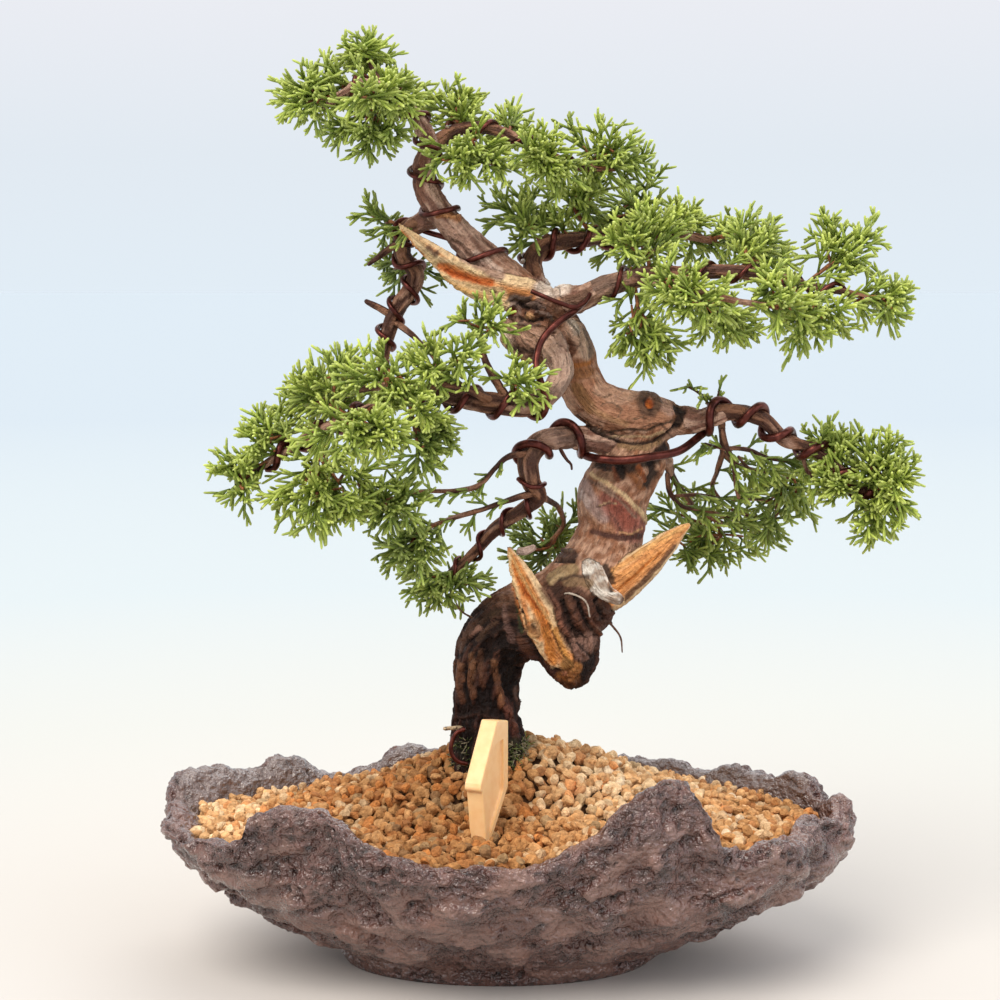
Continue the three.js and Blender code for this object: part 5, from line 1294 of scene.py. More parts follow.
def anodised_aluminium():
    """Soft aluminium wire, dyed brown-red by anodising: a satin metal that is bright where it was snipped.

    Its scuffs are some 4 mm wide, and the grain left by drawing is under 1 mm."""
    made, tree, shader = finish_of("aluminium_anodised_copper_brown", Metallic=0.85)
    spot = node(tree, "TexCoord").outputs["Object"]
    cut = node(tree, "Attribute", attribute_name="cut").outputs["Fac"]
    scuffs = node(tree, "TexNoise", {"Vector": spot, "Scale": 260.0, "Detail": 5.0, "Roughness": 0.6})
    dye = node(
        tree, "ValToRGB", {"Fac": scuffs.outputs["Fac"]},
        [(0.35, "#42201c"), (0.7, "#7c463d"), (0.52, "#5c2d26")],
    )
    tone = node(tree, "Mix", {0: cut, 6: dye.outputs["Color"], 7: linear("#e8e4e0")}, data_type="RGBA")
    tree.links.new(tone.outputs[2], shader.inputs["Base Color"])
    gloss = node(
        tree, "MapRange",
        {"Value": scuffs.outputs["Fac"], "From Min": 0.3, "From Max": 0.7, "To Min": 0.26, "To Max": 0.42},
    )
    tree.links.new(gloss.outputs["Result"], shader.inputs["Roughness"])
    grit = node(tree, "TexNoise", {"Vector": spot, "Scale": 1400.0})
    bump = node(tree, "Bump", {"Height": grit.outputs["Fac"], "Strength": 0.12, "Distance": 0.0002})
    tree.links.new(bump.outputs["Normal"], shader.inputs["Normal"])
    return made


anodised = anodised_aluminium()
# each wire's radius, and the stretches of points that it runs through
WIRES = {
    "wire_knot": (THIN_WIRE, [
        [seen_at(531, 291, -17), seen_at(545, 297, -18), seen_at(560, 303, -19), seen_at(574, 307, -19)],
        [seen_at(584, 303, -17), seen_at(590, 294, -12)],
    ]),
    "wire_low": (THICK_WIRE, [
        coil("left_low", 0.4, 0.12, 2, 2.2, THICK_WIRE),
        [(37, -9, 220.2), (43, -15.5, 219.4), (52, -16.2, 219), (64, -15.5, 220.5), (76, -10, 222.5)],
        coil("right_low", 0.13, 0.86, 5.4, 4.2, THICK_WIRE),
    ]),
    "wire_mid": (FRONT_WIRE, [
        [
            seen_at(586, 300, -9), seen_at(573, 312, -17), seen_at(561, 320, -20), seen_at(549, 331, -23),
            seen_at(541, 342, -26), seen_at(537, 355, -30), seen_at(536.5, 368, -33),
        ],
        coil("left_mid", 0.24, 0.93, 7.4, 0.3, MIDDLE_WIRE),
    ]),
    "wire_crown": (CROWN_WIRE, [coil("trunk_high", 0.6, 0.96, 5.7, 4.5, CROWN_WIRE)]),
    "wire_high_left": (CROWN_WIRE, [
        coil("trunk_high", 0.44, 0.55, 1.2, 1.6, CROWN_WIRE),
        coil("high_left", 0.2, 0.86, 5, 2.8, CROWN_WIRE),
    ]),
    "wire_right_high": (THIN_WIRE, [coil("right_high", 0.17, 0.96, 6.4, 3.3, THIN_WIRE)]),
    "wire_back_high": (MIDDLE_WIRE, [coil("back_high", 0.2, 0.82, 4.4, 0.6, MIDDLE_WIRE)]),
    "wire_left_low": (THIN_WIRE, [coil("left_low", 0.42, 0.94, 4.4, 4.5, THIN_WIRE)]),
    "wire_crown_right": (THIN_WIRE, [coil("crown_right", 0.14, 0.82, 3.4, 0.6, THIN_WIRE)]),
    "wire_anchor": (THIN_WIRE, [
        [(-15, -3, 101.5), (-19, -4, 99.5), (-21.2, -4, 94.5), (-20.6, -4, 90), (-18, -4, 87.2)],
        [(-14, -3, 86)],
    ]),
}
for wire_name, (wire_radius, stretches) in WIRES.items():
    make_wire(wire_name, np.concatenate([np.array(s, float) for s in stretches]), wire_radius)


# ---- foliage: each spray springs from the same place as its solid and reaches the same tips ----
# the limb that it grows from, how far along that it starts, and the tips that it reaches
SPRAYS = {
    "spray_crown_tip": ("trunk_high", 0.965, [
        (-93, -10, 368), (-84, -8, 381), (-78, -26, 362), (-84, 14, 372), (-71, 10, 387),
    ]),
    "spray_crown_under": ("trunk_high", 0.9, [(-57, -16, 344), (-70, -18, 354), (-42, -24, 354)]),
    "spray_crown_top": ("crown_top", 0.75, [(-56, 6, 397), (-66, 0, 392), (-45, 8, 386)]),
    "spray_crown_front": ("trunk_high", 0.87, [(-46, -36, 372), (-61, -46, 365), (-34, -26, 364)]),
    "spray_crown_back": ("trunk_high", 0.84, [(-46, 32, 377), (-63, 40, 374), (-32, 34, 368)]),
    "spray_peak_left": ("crown_right", 0.25, [(-32, 14, 372), (-14, 8, 377), (-12, 36, 364)]),
    "spray_peak_mid": ("crown_right", 0.45, [(4, 18, 366), (14, 44, 356), (-4, 52, 360)]),
    "spray_peak_tip": ("crown_right", 0.88, [(42, 32, 352), (66, 12, 345), (28, 16, 363), (56, 0, 351)]),
    "spray_peak_under": ("crown_right", 0.3, [(-14, -29, 337), (-30, -24, 340), (3, -24, 338)]),
    "spray_peak_low": ("crown_right", 0.6, [(20, -18, 340), (35, -8, 336), (10, -32, 348)]),
    "spray_high_outer": ("high_left", 0.22, [(-62, 12, 325), (-54, 28, 316)]),
    "spray_high_inner": ("high_left", 0.4, [(-54, 34, 300), (-38, 40, 288), (-28, 36, 298)]),
    "spray_arch_left": ("back_high", 0.36, [(-4, 20, 330), (8, 4, 316), (14, 44, 334)]),
    "spray_arch_top": ("back_high", 0.5, [(22, 28, 340), (42, 22, 338), (32, 52, 332)]),
    "spray_arch_twig": ("back_high", 0.64, [
        (65, 22, 342), (56, 54, 332), (50, 74, 308), (32, 66, 312), (66, 66, 298),
    ]),
    "spray_back_mid": ("back_high", 0.82, [(84, 26, 325), (96, 70, 309), (74, 70, 318)]),
    "spray_back_end": ("back_high", 0.96, [(119, 30, 315), (130, 60, 303), (110, 70, 308)]),
    "spray_right_tip": ("right_high", 0.97, [(172, -10, 287), (164, -26, 279), (168, 10, 292)]),
    "spray_right_top": ("right_high", 0.78, [(163, 6, 316), (140, 14, 321), (150, -10, 304)]),
    "spray_right_under": ("right_high", 0.72, [(142, -36, 277), (122, -42, 269), (146, -12, 272)]),
    "spray_right_mid": ("right_high", 0.58, [(118, 12, 314), (102, 16, 321), (126, 20, 300)]),
    "spray_right_low": ("right_high", 0.45, [(98, -28, 267), (84, -14, 270), (108, -8, 272)]),
    "spray_right_hang": ("right_high", 0.28, [(62, -18, 259), (48, -14, 268), (74, -16, 263)]),
    "spray_right_near": ("right_high", 0.33, [(60, -10, 323), (78, 6, 319), (44, -28, 312)]),
    "spray_front_near": ("right_front", 0.5, [(72, -58, 284), (90, -68, 282), (62, -48, 297)]),
    "spray_front_end": ("right_front", 0.95, [(127, -52, 280), (112, -70, 285), (106, -40, 300)]),
    "spray_tuft_top": ("left_tuft", 0.9, [(-7, -20, 286), (-23, -26, 278), (2, -38, 276)]),
    "spray_tuft_side": ("left_mid", 0.32, [(9, -44, 263), (18, -50, 243), (2, -54, 257)]),
    "spray_tuft_left": ("left_front", 0.3, [(-31, -36, 269), (-12, -58, 266), (-32, -62, 257)]),
    "spray_left_tip": ("left_mid", 0.96, [(-114, -44, 206), (-112, -32, 223), (-104, -54, 203)]),
    "spray_left_upper": ("left_mid", 0.84, [(-103, -28, 237), (-98, -12, 234), (-104, -48, 226)]),
    "spray_left_top": ("left_mid", 0.7, [(-84, -30, 252), (-66, -34, 265), (-88, -16, 246)]),
    "spray_left_under": ("left_mid", 0.74, [
        (-87, -58, 196), (-74, -70, 194), (-94, -44, 202), (-56, -60, 200), (-46, -46, 208),
    ]),
    "spray_left_inner": ("left_mid", 0.56, [(-32, -56, 215), (-17, -48, 228), (-24, -32, 222)]),
    "spray_left_front": ("left_front", 0.85, [(-76, -86, 229), (-58, -97, 229), (-38, -92, 234)]),
    "spray_left_crest": ("left_front", 0.6, [(-51, -42, 265), (-62, -66, 254), (-28, -76, 240)]),
    "spray_left_back": ("left_back", 0.7, [
        (-98, 10, 236), (-84, 28, 238), (-66, 32, 244), (-52, 22, 240), (-62, -10, 263),
    ]),
    "spray_low_left": ("left_twig_high", 0.9, [(-57, -34, 195), (-52, -50, 206), (-36, -54, 200)]),
    "spray_low_outer": ("left_twig_low", 0.85, [(-51, -26, 179), (-42, -38, 176), (-28, -36, 180)]),
    "spray_low_tip": ("left_low", 0.9, [(-36, -8, 160), (-22, -10, 154), (-42, 2, 168), (-6, 2, 162)]),
    "spray_behind": ("back_low", 0.8, [
        (16, 48, 159), (2, 38, 170), (36, 52, 172), (39, 44, 195), (10, 52, 186),
    ]),
    "spray_hang_end": ("right_hang_side", 0.88, [
        (138, 34, 213), (134, 22, 197), (135, 50, 190), (120, 56, 178), (116, 36, 176),
    ]),
    "spray_hang_low": ("back_right", 0.75, [
        (112, 70, 166), (128, 74, 174), (96, 76, 172), (70, 52, 176), (64, 54, 195), (84, 56, 164),
    ]),
    "spray_low_right": ("right_low", 0.86, [
        (174, -10, 220), (170, -24, 197), (164, -30, 208), (168, -4, 230), (152, -4, 230),
        (155, -17, 183),
    ]),
}
# Sprays that stand in the tree's own shade are darker and bluer.
SHADED = {
    "spray_behind": 0.55, "spray_hang_low": 0.3, "spray_hang_end": 0.2, "spray_low_tip": 0.3,
    "spray_low_outer": 0.3, "spray_low_left": 0.25, "spray_high_inner": 0.5, "spray_high_outer": 0.3,
    "spray_arch_twig": 0.2, "spray_left_inner": 0.3, "spray_crown_back": 0.2, "spray_crown_under": 0.2,
    "spray_arch_left": 0.2,
}
CORD_START = 0.82  # the radius where a cord starts, as a share of its own
CORD_RINGS = ((0.5, 1.22), (0.42, 0.84))  # shares of its length up to each ring, and how much wider that is
CORD_TIP = 0.08
CORD_RADIUS = 0.68
STEM_RADIUS = 0.95
SPRIG_LENGTHS, TIP_SPRIG = (11, 18), 16.0
SCALE_GAP = 1.3  # millimetres along a cord between the tips of its scales
CORD_GAP = 4.2  # millimetres along a shoot between the cords at its sides
SPRIG_GAP = 3.3  # millimetres along a twig between shoots
FILLING = 2.0  # more twigs inside a spray, for each one that reaches its edge
# shoots that stand alone along the finest twigs: how many on each twig, the shortest and the longest
LONE_SHOOTS = {
    "fine_upright": (7, 6, 9), "fine_upright_side": (3, 5, 7), "fine_stem": (9, 8, 13),
    "fine_left": (5, 6, 10), "fine_long": (15, 8, 14), "fine_long_low": (11, 8, 13),
    "fine_back": (13, 9, 15), "fine_cross": (12, 9, 14), "fine_outer": (5, 6, 9), "right_hang": (8, 8, 13),
    "right_hang_side": (7, 8, 13), "back_right": (12, 9, 14), "left_twig_high": (10, 7, 12),
    "left_twig_low": (9, 7, 12),
}
# more sprays at the end of one long branch, where the solids have a single one
MORE_SPRAYS = {
    "more_low_upper": ("right_low", 0.66, [
        seen_at(838, 436, -8), seen_at(858, 448, -2), seen_at(806, 432, -4),
    ]),
    "more_low_under": ("right_low", 0.76, [
        seen_at(826, 474, -16), seen_at(846, 500, -18), seen_at(812, 486, -10),
    ]),
    "more_low_end": ("right_low", 0.9, [
        seen_at(878, 438, -6), seen_at(902, 470, -14), seen_at(872, 540, -16),
    ]),
}
# sprays with fewer or more twigs than the others, as a share of what those have
LEAFY = {
    "spray_hang_low": 0.7, "spray_hang_end": 0.7, "spray_behind": 0.8, "spray_high_outer": 0.7,
    "spray_high_inner": 0.7, "spray_tuft_side": 0.5, "spray_tuft_top": 0.75, "spray_crown_tip": 1.2,
    "spray_crown_top": 1.3, "spray_right_mid": 1.5, "spray_right_low": 1.4,
}


def model_cord():
    """One cord of scale leaves, 1 long: five-sided, fullest in its middle, closed by a blunt tip."""
    deselect()
    bpy.ops.mesh.primitive_circle_add(vertices=5, radius=CORD_START * MM, fill_type="NGON")
    cord = bpy.context.object
    start_edit()
    for rise, widen in CORD_RINGS:
        bpy.ops.mesh.extrude_region_move(TRANSFORM_OT_translate={"value": (0, 0, rise * MM)})
        bpy.ops.transform.resize(value=(widen, widen, 1), center_override=(0, 0, 0))
    bpy.ops.mesh.extrude_region_move(TRANSFORM_OT_translate={"value": (0, 0, CORD_TIP * MM)})
    bpy.ops.mesh.merge(type="CENTER")
    end_edit()
    return shape_of(cord)


CORD_POINTS, CORD_FACES = model_cord()


def square_to(along, rng):
    """Two directions square to each of some directions, turned at random."""
    other = unit(np.cross(along, rng.normal(size=along.shape)))
    return other, np.cross(along, other)


class Growth:
    """Gathers the cords and twigs of one spray: where each starts, which way it runs, and how it looks."""

    def __init__(self, rng):
        self.rng = rng
        self.rows = []

    def add(self, start, along, length, bend, radius, age, tip_age, woody):
        self.rows.append((*start, *along, *bend, length, radius, age, tip_age, woody))

    def mesh(self, name, shade):
        rows = np.array(self.rows)
        start, along, bend = rows[:, 0:3], rows[:, 3:6], rows[:, 6:9]
        length, radius, age, tip_age, woody = rows[:, 9:].T
        u, v = square_to(along, self.rng)
        x, y, z = CORD_POINTS.T
        centre = start[:, None] + length[:, None, None] * (
            z[None, :, None] * along[:, None] + (z**2)[None, :, None] * bend[:, None]
        )
        thick = radius[:, None, None]
        points = centre + thick * (x[None, :, None] * u[:, None] + y[None, :, None] * v[:, None])
        count = len(rows)
        begun = len(CORD_POINTS) * np.arange(count)
        faces = [(np.array(face)[None] + begun[:, None]).tolist() for face in CORD_FACES]
        faces = [face for group in faces for face in group]
        years = age[:, None] + (tip_age - age)[:, None] * z[None]
        tint = np.repeat(self.rng.random(count), len(z))
        run = (length[:, None] * z[None]).ravel()
        fields = {"age": years.ravel(), "tint": tint, "woody": np.repeat(woody, len(z)), "run": run}
        return gathered(name, points.reshape(-1, 3), faces, **fields, shade=np.full(len(tint), shade))


def grow_sprig(growth, start, along, length):
    """A forked shoot: one cord with others to either side of it, some of them forked again."""
    rng = growth.rng
    bend = 0.09 * rng.normal(size=3)
    side, over = square_to(along, rng)
    at = lambda t: start + length * (t * along + t * t * bend)
    growth.add(start, along, length, bend, CORD_RADIUS, 0.2, 1.0, 0.0)
    count = max(2, int(round(length / CORD_GAP)))
    turn = TURN * rng.random()
    for i in range(count):
        t = 0.14 + 0.66 * (i + 0.6 * rng.random()) / count
        turn += TURN / 2 + 0.45 * rng.normal()
        out = np.cos(turn) * side + np.sin(turn) * over
        lean = np.radians(rng.uniform(22, 46))
        direction = unit(np.cos(lean) * unit(along + 2 * t * bend) + np.sin(lean) * out)
        reach = min(length * (0.86 - 0.36 * t), 10.5) * rng.uniform(0.66, 1.1)
        inward = 0.09 * rng.normal(size=3) + 0.06 * along
        root = at(t)
        thick = CORD_RADIUS * rng.uniform(0.86, 1.04)
        growth.add(root, direction, reach, inward, thick, 0.3 + 0.25 * t, 1.0, 0.0)
        for s in (0.36, 0.6)[: int(reach > 5) + int(reach > 8)]:
            if rng.random() < 0.35:
                continue
            spring = root + reach * (s * direction + s * s * inward)
            fork = unit(direction + 0.7 * unit(rng.normal(size=3)))
            short = reach * rng.uniform(0.5, 0.72)
            growth.add(spring, fork, short, 0.06 * rng.normal(size=3), CORD_RADIUS * 0.9, 0.6, 1.0, 0.0)


def grow_stem(growth, start, tip, rng, thick, gap):
    """A brown twig from one place to a shoot that ends at its tip, with shoots on all sides of it."""
    reach = np.linalg.norm(tip - start)
    chord = (tip - start) / reach
    bend = 0.07 * rng.normal(size=3) - np.array([0, 0, rng.uniform(-0.04, 0.1)])
    along = chord - bend  # so that it still ends at the tip
    at = lambda t: start + reach * (t * along + t * t * bend)
    last = min(TIP_SPRIG, 0.6 * reach)
    stop = 1 - last / reach
    growth.add(start, along, reach * stop, bend * stop, thick, 0.0, 0.25, 1.0)
    turn = TURN * rng.random()
    count = max(2, int(reach * 0.86 / gap))
    for i in range(count):
        t = 0.1 + 0.84 * (i + 0.5 * rng.random()) / count
        turn += 2.4 + 0.3 * rng.normal()
        ahead = unit(along + 2 * t * bend)
        side = unit(np.cross(ahead, [0.1, 0.2, 1.0]))
        over = np.cross(side, ahead)
        out = np.cos(turn) * side + np.sin(turn) * over + 0.2 * np.array([0, 0, 1.0])
        lean = np.radians(rng.uniform(30, 62))
        direction = unit(np.cos(lean) * ahead + np.sin(lean) * unit(out))
        left = np.linalg.norm(tip - at(t))
        length = min(rng.uniform(*SPRIG_LENGTHS), 6 + 0.7 * left)
        grow_sprig(growth, at(t), direction, length)
    base = at(stop)
    grow_sprig(growth, base, unit(tip - base), last - 1)
    return at


def make_spray(name, limb, share, tips, number):
    rng = np.random.default_rng(300 + number)
    place = stations(LIMBS[limb], 100)[0]
    root = place[round(share * 100)]
    tips = np.array(tips, float)
    growth = Growth(rng)
    gap = SPRIG_GAP / min(1, LEAFY.get(name, 1))
    start, roots = root, [*place[max(0, round(share * 100) - 9) : round(share * 100) + 9 : 2]]
    for i, tip in enumerate(tips):
        at = grow_stem(growth, start, tip, rng, STEM_RADIUS * (1 if i == 0 else 0.75), gap)
        roots += [at(t) for t in (0.25, 0.4, 0.55, 0.7)]
        if i == 0:
            start = at(0.35)
    corners = np.concatenate([tips, [root]])
    for _ in range(round(FILLING * len(tips) * LEAFY.get(name, 1))):
        end = rng.dirichlet(np.full(len(corners), 0.8)) @ corners + 3 * rng.normal(size=3)
        gaps = np.linalg.norm(np.array(roots) - end, axis=1)
        near = roots[int(np.argmin(np.abs(gaps - 15)))]
        grow_stem(growth, near, end, rng, STEM_RADIUS * 0.6, gap)
    piece = growth.mesh(name.replace("spray_", "leaves_"), SHADED.get(name, 0.0))
    piece.data.materials.append(scale_leaves)
    settle(piece, "foliage", *([name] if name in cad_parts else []))


def make_lone_shoots():
    rng = np.random.default_rng(900)
    growth = Growth(rng)
    for limb, (count, short, long) in LONE_SHOOTS.items():
        place, along = stations(LIMBS[limb], 60)[:2]
        for spot in np.linspace(14, 60, count).astype(int):
            direction = unit(along[spot] * 0.8 + 0.55 * rng.normal(size=3) - [0, 0, 0.25])
            grow_sprig(growth, place[spot], direction, rng.uniform(short, long))
    piece = growth.mesh("leaves_lone_shoots", 0.25)
    piece.data.materials.append(scale_leaves)
    settle(piece, "foliage")


def juniper_scale_leaves():
    """Living scale leaves, waxy and a little shiny: yellow-green where new, bluer in the shade.

    The twigs among them are brown. Patches of colour are some 17 mm wide, and the twigs' rind 2 mm."""
    made, tree, shader = finish_of("juniper_scale_leaves", Roughness=0.5, IOR=1.45, Specular_IOR_Level=0.4)
    read = lambda field: node(tree, "Attribute", attribute_name=field).outputs["Fac"]
    spot = node(tree, "TexCoord").outputs["Object"]
    green = node(
        tree, "ValToRGB", {"Fac": read("age")},
        [(0.0, "#81613d"), (1.0, "#ccd980"), (0.22, "#6a7b34"), (0.6, "#8b9f44"), (0.88, "#aebc57")],
    )
    deep = node(
        tree, "ValToRGB", {"Fac": read("age")},
        [(0.0, "#5f4b39"), (1.0, "#94a55e"), (0.25, "#48582b"), (0.7, "#677b40")],
    )
    aged = node(
        tree, "Mix", {0: read("shade"), 6: green.outputs["Color"], 7: deep.outputs["Color"]},
        data_type="RGBA",
    )
    patches = node(tree, "TexNoise", {"Vector": spot, "Scale": 60.0})
    patch = node(tree, "ValToRGB", {"Fac": patches.outputs["Fac"]}, [(0.35, "#cfd2c0"), (0.65, "#fffbe0")])
    tinted = node(
        tree, "Mix", {0: 0.6, 6: aged.outputs[2], 7: patch.outputs["Color"]},
        data_type="RGBA", blend_type="MULTIPLY",
    )
    vary = node(tree, "MapRange", {"Value": read("tint"), "To Min": 0.66, "To Max": 1.18})
    lifted = node(
        tree, "Mix", {0: 1.0, 6: tinted.outputs[2], 7: vary.outputs["Result"]},
        data_type="RGBA", blend_type="MULTIPLY",
    )
    rind = node(tree, "TexNoise", {"Vector": spot, "Scale": 500.0, "Detail": 3.0})
    twig = node(tree, "ValToRGB", {"Fac": rind.outputs["Fac"]}, [(0.35, "#5c3420"), (0.68, "#a9693c")])
    tone = node(
        tree, "Mix", {0: read("woody"), 6: lifted.outputs[2], 7: twig.outputs["Color"]},
        data_type="RGBA",
    )
    tree.links.new(tone.outputs[2], shader.inputs["Base Color"])
    scales = node(tree, "Math", {0: read("run"), 1: TURN / SCALE_GAP}, operation="MULTIPLY")
    wave = node(tree, "Math", {0: scales.outputs[0]}, operation="SINE")
    bump = node(tree, "Bump", {"Height": wave.outputs[0], "Strength": 0.18, "Distance": 0.0003})
    tree.links.new(bump.outputs["Normal"], shader.inputs["Normal"])
    return made


scale_leaves = juniper_scale_leaves()
for number, (spray_name, plan) in enumerate({**SPRAYS, **MORE_SPRAYS}.items()):
    make_spray(spray_name, *plan, number)
make_lone_shoots()


# ---- label: a thick cream plate, sunk on both faces inside a raised frame, on a stake in the gravel ----
LABEL_AT, LABEL_TURN = (-7.9, -49.5, 65.0), 66  # degrees
LABEL_THICK, LABEL_SUNK = 7.3, 1.5
LABEL_BEVEL, TRAY_BEVEL = 0.7, 0.6
# its outline seen flat, from the stake's tip round to the step under the plate's low corner
LABEL_OUTLINE = [
    (-0.4, -14), (3, -14), (3.7, 0), (20, 18), (20, 46), (8.5, 48), (-8, 24.5), (-8.5, 22.6), (-8, 21.4),
    (-6.3, 20.6),
]
# the outline of the tray sunk in it
LABEL_TRAY = [(0.8, 1.1), (14.9, 17.4), (14.9, 39.2), (6.1, 38.2), (-2.7, 24)]


def make_label():
    count = len(LABEL_OUTLINE)
    deselect()
    bpy.ops.mesh.primitive_circle_add(vertices=count, radius=1, fill_type="NGON")
    piece = bpy.context.object
    piece.name = piece.data.name = "label_plate"
    flat = np.array(LABEL_OUTLINE, float)
    put_points(piece, np.column_stack([flat, np.full(count, -LABEL_THICK / 2)]))
    start_edit()
    bpy.ops.mesh.extrude_region_move(TRANSFORM_OT_translate={"value": (0, 0, LABEL_THICK * MM)})
    end_edit()
    apply_modifier(piece, "BEVEL", width=LABEL_BEVEL * MM, segments=3, limit_method="ANGLE")
    for face in (-1, 1):
        sink_face(piece, face)
    points = points_of(piece)
    turn = np.radians(LABEL_TURN)
    x, y, z = points.T
    placed = np.stack([x * np.cos(turn) + z * np.sin(turn), x * np.sin(turn) - z * np.cos(turn), y], axis=1)
    put_points(piece, placed + LABEL_AT)
    select_only(piece)
    bpy.ops.object.shade_flat()
    piece.data.materials.append(moulded_resin())
    settle(piece, "label", "label")


def sink_face(piece, face):
    """Cuts a tray with rounded corners into one face of the plate, inside its frame."""
    deselect()
    bpy.ops.mesh.primitive_circle_add(vertices=len(LABEL_TRAY), radius=1, fill_type="NGON")
    cutter = bpy.context.object
    depth = face * (LABEL_THICK / 2 - LABEL_SUNK)
    put_points(cutter, np.column_stack([np.array(LABEL_TRAY), np.full(len(LABEL_TRAY), depth)]))
    start_edit()
    bpy.ops.mesh.extrude_region_move(TRANSFORM_OT_translate={"value": (0, 0, face * 2 * LABEL_SUNK * MM)})
    end_edit()
    apply_modifier(cutter, "BEVEL", width=TRAY_BEVEL * MM, segments=2, limit_method="ANGLE")
    apply_modifier(piece, "BOOLEAN", operation="DIFFERENCE", object=cutter, solver="EXACT")
    bpy.data.objects.remove(cutter)


def moulded_resin():
    """Cream moulded plastic: it lets a little light in and has a soft shine, under 4 mm clouds of dust."""
    made, tree, shader = finish_of(
        "moulded_cream_plastic", Roughness=0.42, IOR=1.5,
        Subsurface_Weight=0.25, Subsurface_Radius=(0.004, 0.003, 0.0015), Subsurface_Scale=0.6,
    )
    spot = node(tree, "TexCoord").outputs["Object"]
    dust = node(tree, "TexNoise", {"Vector": spot, "Scale": 240.0, "Detail": 4.0})
    tone = node(tree, "ValToRGB", {"Fac": dust.outputs["Fac"]}, [(0.35, "#f3c288"), (0.6, "#f8cc94")])
    tree.links.new(tone.outputs["Color"], shader.inputs["Base Color"])
    bump = node(tree, "Bump", {"Height": dust.outputs["Fac"], "Strength": 0.15, "Distance": 0.0004})
    tree.links.new(bump.outputs["Normal"], shader.inputs["Normal"])
    return made


# ---- drain mesh: black plastic under the gravel ----
def black_plastic():
    """Soft black plastic mesh, dusty in patches of 3 mm from the soil above it."""
    made, tree, shader = finish_of("black_plastic_mesh", Roughness=0.55, IOR=1.49)
    spot = node(tree, "TexCoord").outputs["Object"]
    dust = node(tree, "TexNoise", {"Vector": spot, "Scale": 300.0, "Detail": 4.0})
    tone = node(tree, "ValToRGB", {"Fac": dust.outputs["Fac"]}, [(0.4, "#161617"), (0.75, "#3a332c")])
    tree.links.new(tone.outputs["Color"], shader.inputs["Base Color"])
    return made


# ---- moss at the foot of the trunk ----
# where it grows: bearings from +X in degrees, heights, how many strands
MOSS_PATCHES = [((-80, 25), (74, 94), 1000), ((-40, 35), (72, 82), 700), ((165, 235), (78, 96), 450)]
MOSS_RADIUS, MOSS_LENGTHS = 0.24, (1.6, 3.8)
TRUNK_SKIN = (13.8, 16.2)  # from the middle of the trunk to the bark that the moss grows on
DRY_STRANDS = 0.35  # the share of them that are dry and brown


def make_moss():
    rng = np.random.default_rng(77)
    growth = Growth(rng)
    for (left, right), (low, high), count in MOSS_PATCHES:
        for _ in range(count):
            bearing = np.radians(rng.uniform(left, right))
            z = low + (high - low) * rng.random() ** 1.5
            away = np.array([np.cos(bearing), np.sin(bearing), 0])
            start = np.array([*FOOT, z]) + away * rng.uniform(*TRUNK_SKIN)
            along = unit(away * rng.uniform(0.3, 1.2) + 0.9 * rng.normal(size=3) + [0, 0, 0.35])
            bend = 0.3 * rng.normal(size=3) - [0, 0, 0.15]
            dry = float(rng.random() < DRY_STRANDS)
            growth.add(start, along, rng.uniform(*MOSS_LENGTHS), bend, MOSS_RADIUS, 0.1, 0.9, dry)
    piece = growth.mesh("moss", 0.0)
    piece.data.materials.append(wet_moss())
    settle(piece, "foliage")


def wet_moss():
    """Moss and fine dead rootlets: dark green strands with some dry brown ones among them."""
    made, tree, shader = finish_of("moss_and_fine_roots", Roughness=0.8)
    read = lambda field: node(tree, "Attribute", attribute_name=field).outputs["Fac"]
    green = node(
        tree, "ValToRGB", {"Fac": read("tint")},
        [(0.0, "#1f2410"), (1.0, "#7f8a44"), (0.6, "#464f22")],
    )
    tone = node(
        tree, "Mix", {0: read("woody"), 6: green.outputs["Color"], 7: linear("#8d8268")},
        data_type="RGBA",
    )
    tree.links.new(tone.outputs[2], shader.inputs["Base Color"])
    return made


# ---- small dead growth: a snapped stub by the wire, a fine white root, a pale nub and torn fibres ----
# each is a route of x, y, z, radius and a colour
TRIMMINGS = {
    "snapped_stub": ([(-14, 6, 100.5, 1.0), (-19, 2, 100.8, 0.95), (-24.6, -1, 101, 0.85)], "#dcc09a"),
    "pale_rootlet": (
        [(25, -17, 162, 0.5), (30, -22, 163, 0.42), (36, -23.5, 160, 0.4), (38, -22, 153, 0.3)], "#cdbfae",
    ),
    "pale_nub": ([(7, -22, 181, 1.5), (11, -24, 181.5, 1.9), (15, -25, 183.5, 1.3)], "#bda193"),
    "torn_fibre_left": ([(-12, -4, 150, 0.5), (-17, -8, 154, 0.4), (-20, -9, 160, 0.25)], "#7a5a44"),
    "torn_fibre_right": ([(46, -12, 150, 0.6), (51, -16, 144, 0.45), (52, -17, 137, 0.25)], "#6a4a38"),
}


def make_trimmings():
    pieces = []
    for name, (route, tone) in TRIMMINGS.items():
        limb = round_limb(name, route, around=10, spacing=0.8)
        keep(limb.data, "tone", np.tile(linear(tone), (len(limb.data.vertices), 1)))
        pieces.append(limb)
    piece = join(pieces, "dead_twigs")
    points = points_of(piece)
    put_points(piece, points + 0.12 * rough(points, 1.6, 2, 21)[:, None] * facings_of(piece))
    piece.data.materials.append(bark("dead_wood_dry"))
    settle(piece, "bark")


make_label()
black_mesh = black_plastic()
for mesh_name in ("drain_mesh_left", "drain_mesh_right"):
    for material_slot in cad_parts[mesh_name].material_slots:
        material_slot.material = black_mesh
make_moss()
make_trimmings()


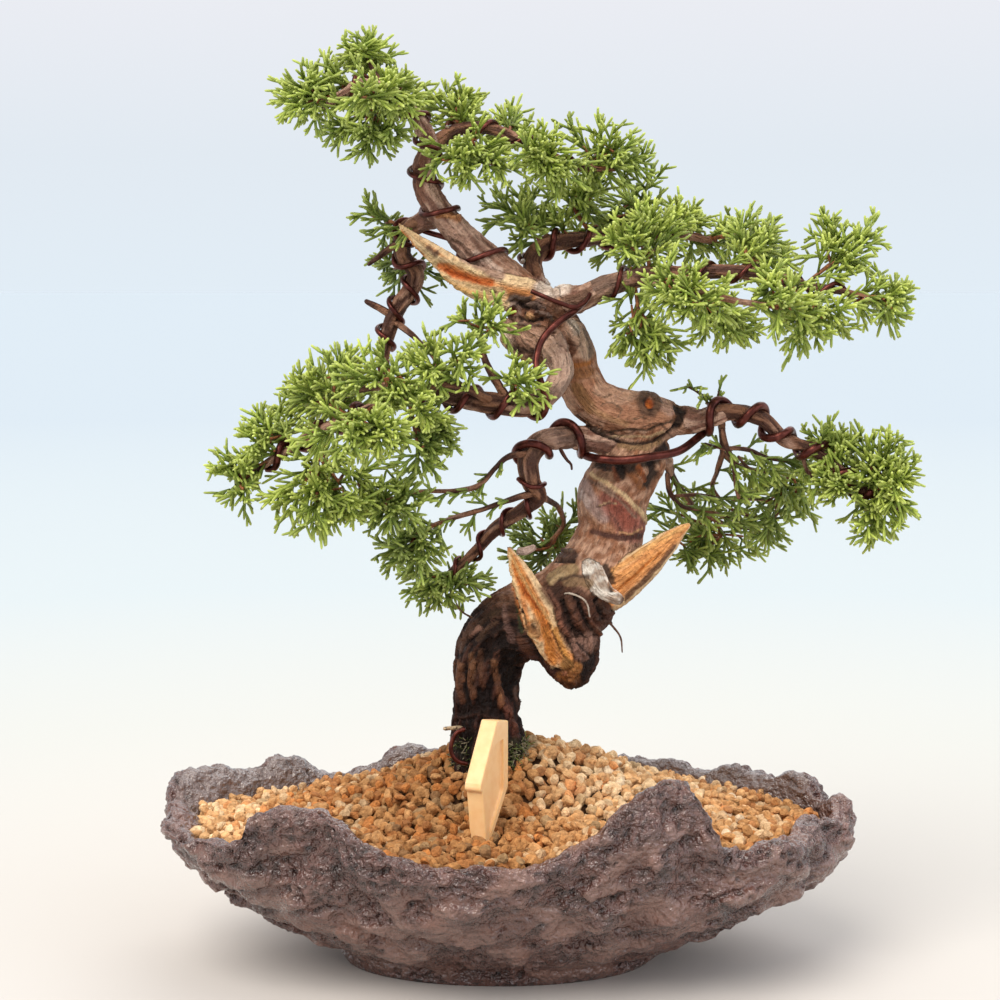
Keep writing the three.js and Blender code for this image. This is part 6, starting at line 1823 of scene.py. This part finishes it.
# ---- stage: a pale floor that runs to the horizon, and soft studio light ----
def painted_floor():
    """A matt floor, warm white under the object, that pales to the colour of the backdrop far behind it."""
    made, tree, shader = finish_of("painted_floor", Roughness=1.0, Specular_IOR_Level=0.0)
    spot = node(tree, "TexCoord").outputs["Object"]
    away = node(tree, "VectorMath", {0: spot}, operation="LENGTH").outputs["Value"]
    share = node(tree, "MapRange", {"Value": away, "From Max": FLOOR_FADE}).outputs["Result"]
    tone = node(
        tree, "ValToRGB", {"Fac": share},
        [(0.03, "#c9c4bf"), (1.0, "#acb7c0"), (0.14, "#bfc1be"), (0.3, "#b5bec2")],
    )
    tree.links.new(tone.outputs["Color"], shader.inputs["Base Color"])
    return made


def set_stage():
    deselect()
    bpy.ops.mesh.primitive_plane_add(size=FLOOR_SIZE)
    floor = bpy.context.object
    floor.name = "floor"
    floor.data.materials.append(painted_floor())
    for name, place, angle, strength, colour in STUDIO_LIGHTS:
        bpy.ops.object.light_add(type="SUN", location=place)
        light = bpy.context.object
        light.name = name
        light.data.angle, light.data.energy = np.radians(angle), strength
        light.data.color = linear(colour)[:3]
        light.rotation_euler = (-Vector(place)).to_track_quat("-Z", "Y").to_euler()
    world = bpy.data.worlds.new("studio")
    world.use_nodes = True
    bpy.context.scene.world = world
    tree = world.node_tree
    spot = node(tree, "TexCoord").outputs["Generated"]
    height = node(tree, "SeparateXYZ", {"Vector": spot}).outputs["Z"]
    sky = node(
        tree, "ValToRGB", {"Fac": height},
        [(0.0, "#e2edf6"), (0.4, "#f4f3f4"), (0.06, "#e2eaf2"), (0.14, "#ecedf3")],
    )
    back = tree.nodes["Background"]
    tree.links.new(sky.outputs["Color"], back.inputs["Color"])


FLOOR_SIZE = 300  # metres
FLOOR_FADE = 4.0  # metres over which the floor pales
# name, where it shines from, how wide it looks in degrees, strength, colour
STUDIO_LIGHTS = [
    ("key", (-0.9, -1.2, 1.9), 44, 2.6, "#fff8ee"),
    ("fill", (1.3, -0.8, 0.9), 60, 0.7, "#eef4ff"),
    ("rim", (0.4, 1.2, 1.5), 50, 0.8, "#ffffff"),
]
set_stage()
bpy.context.scene.view_settings.view_transform = "Standard"
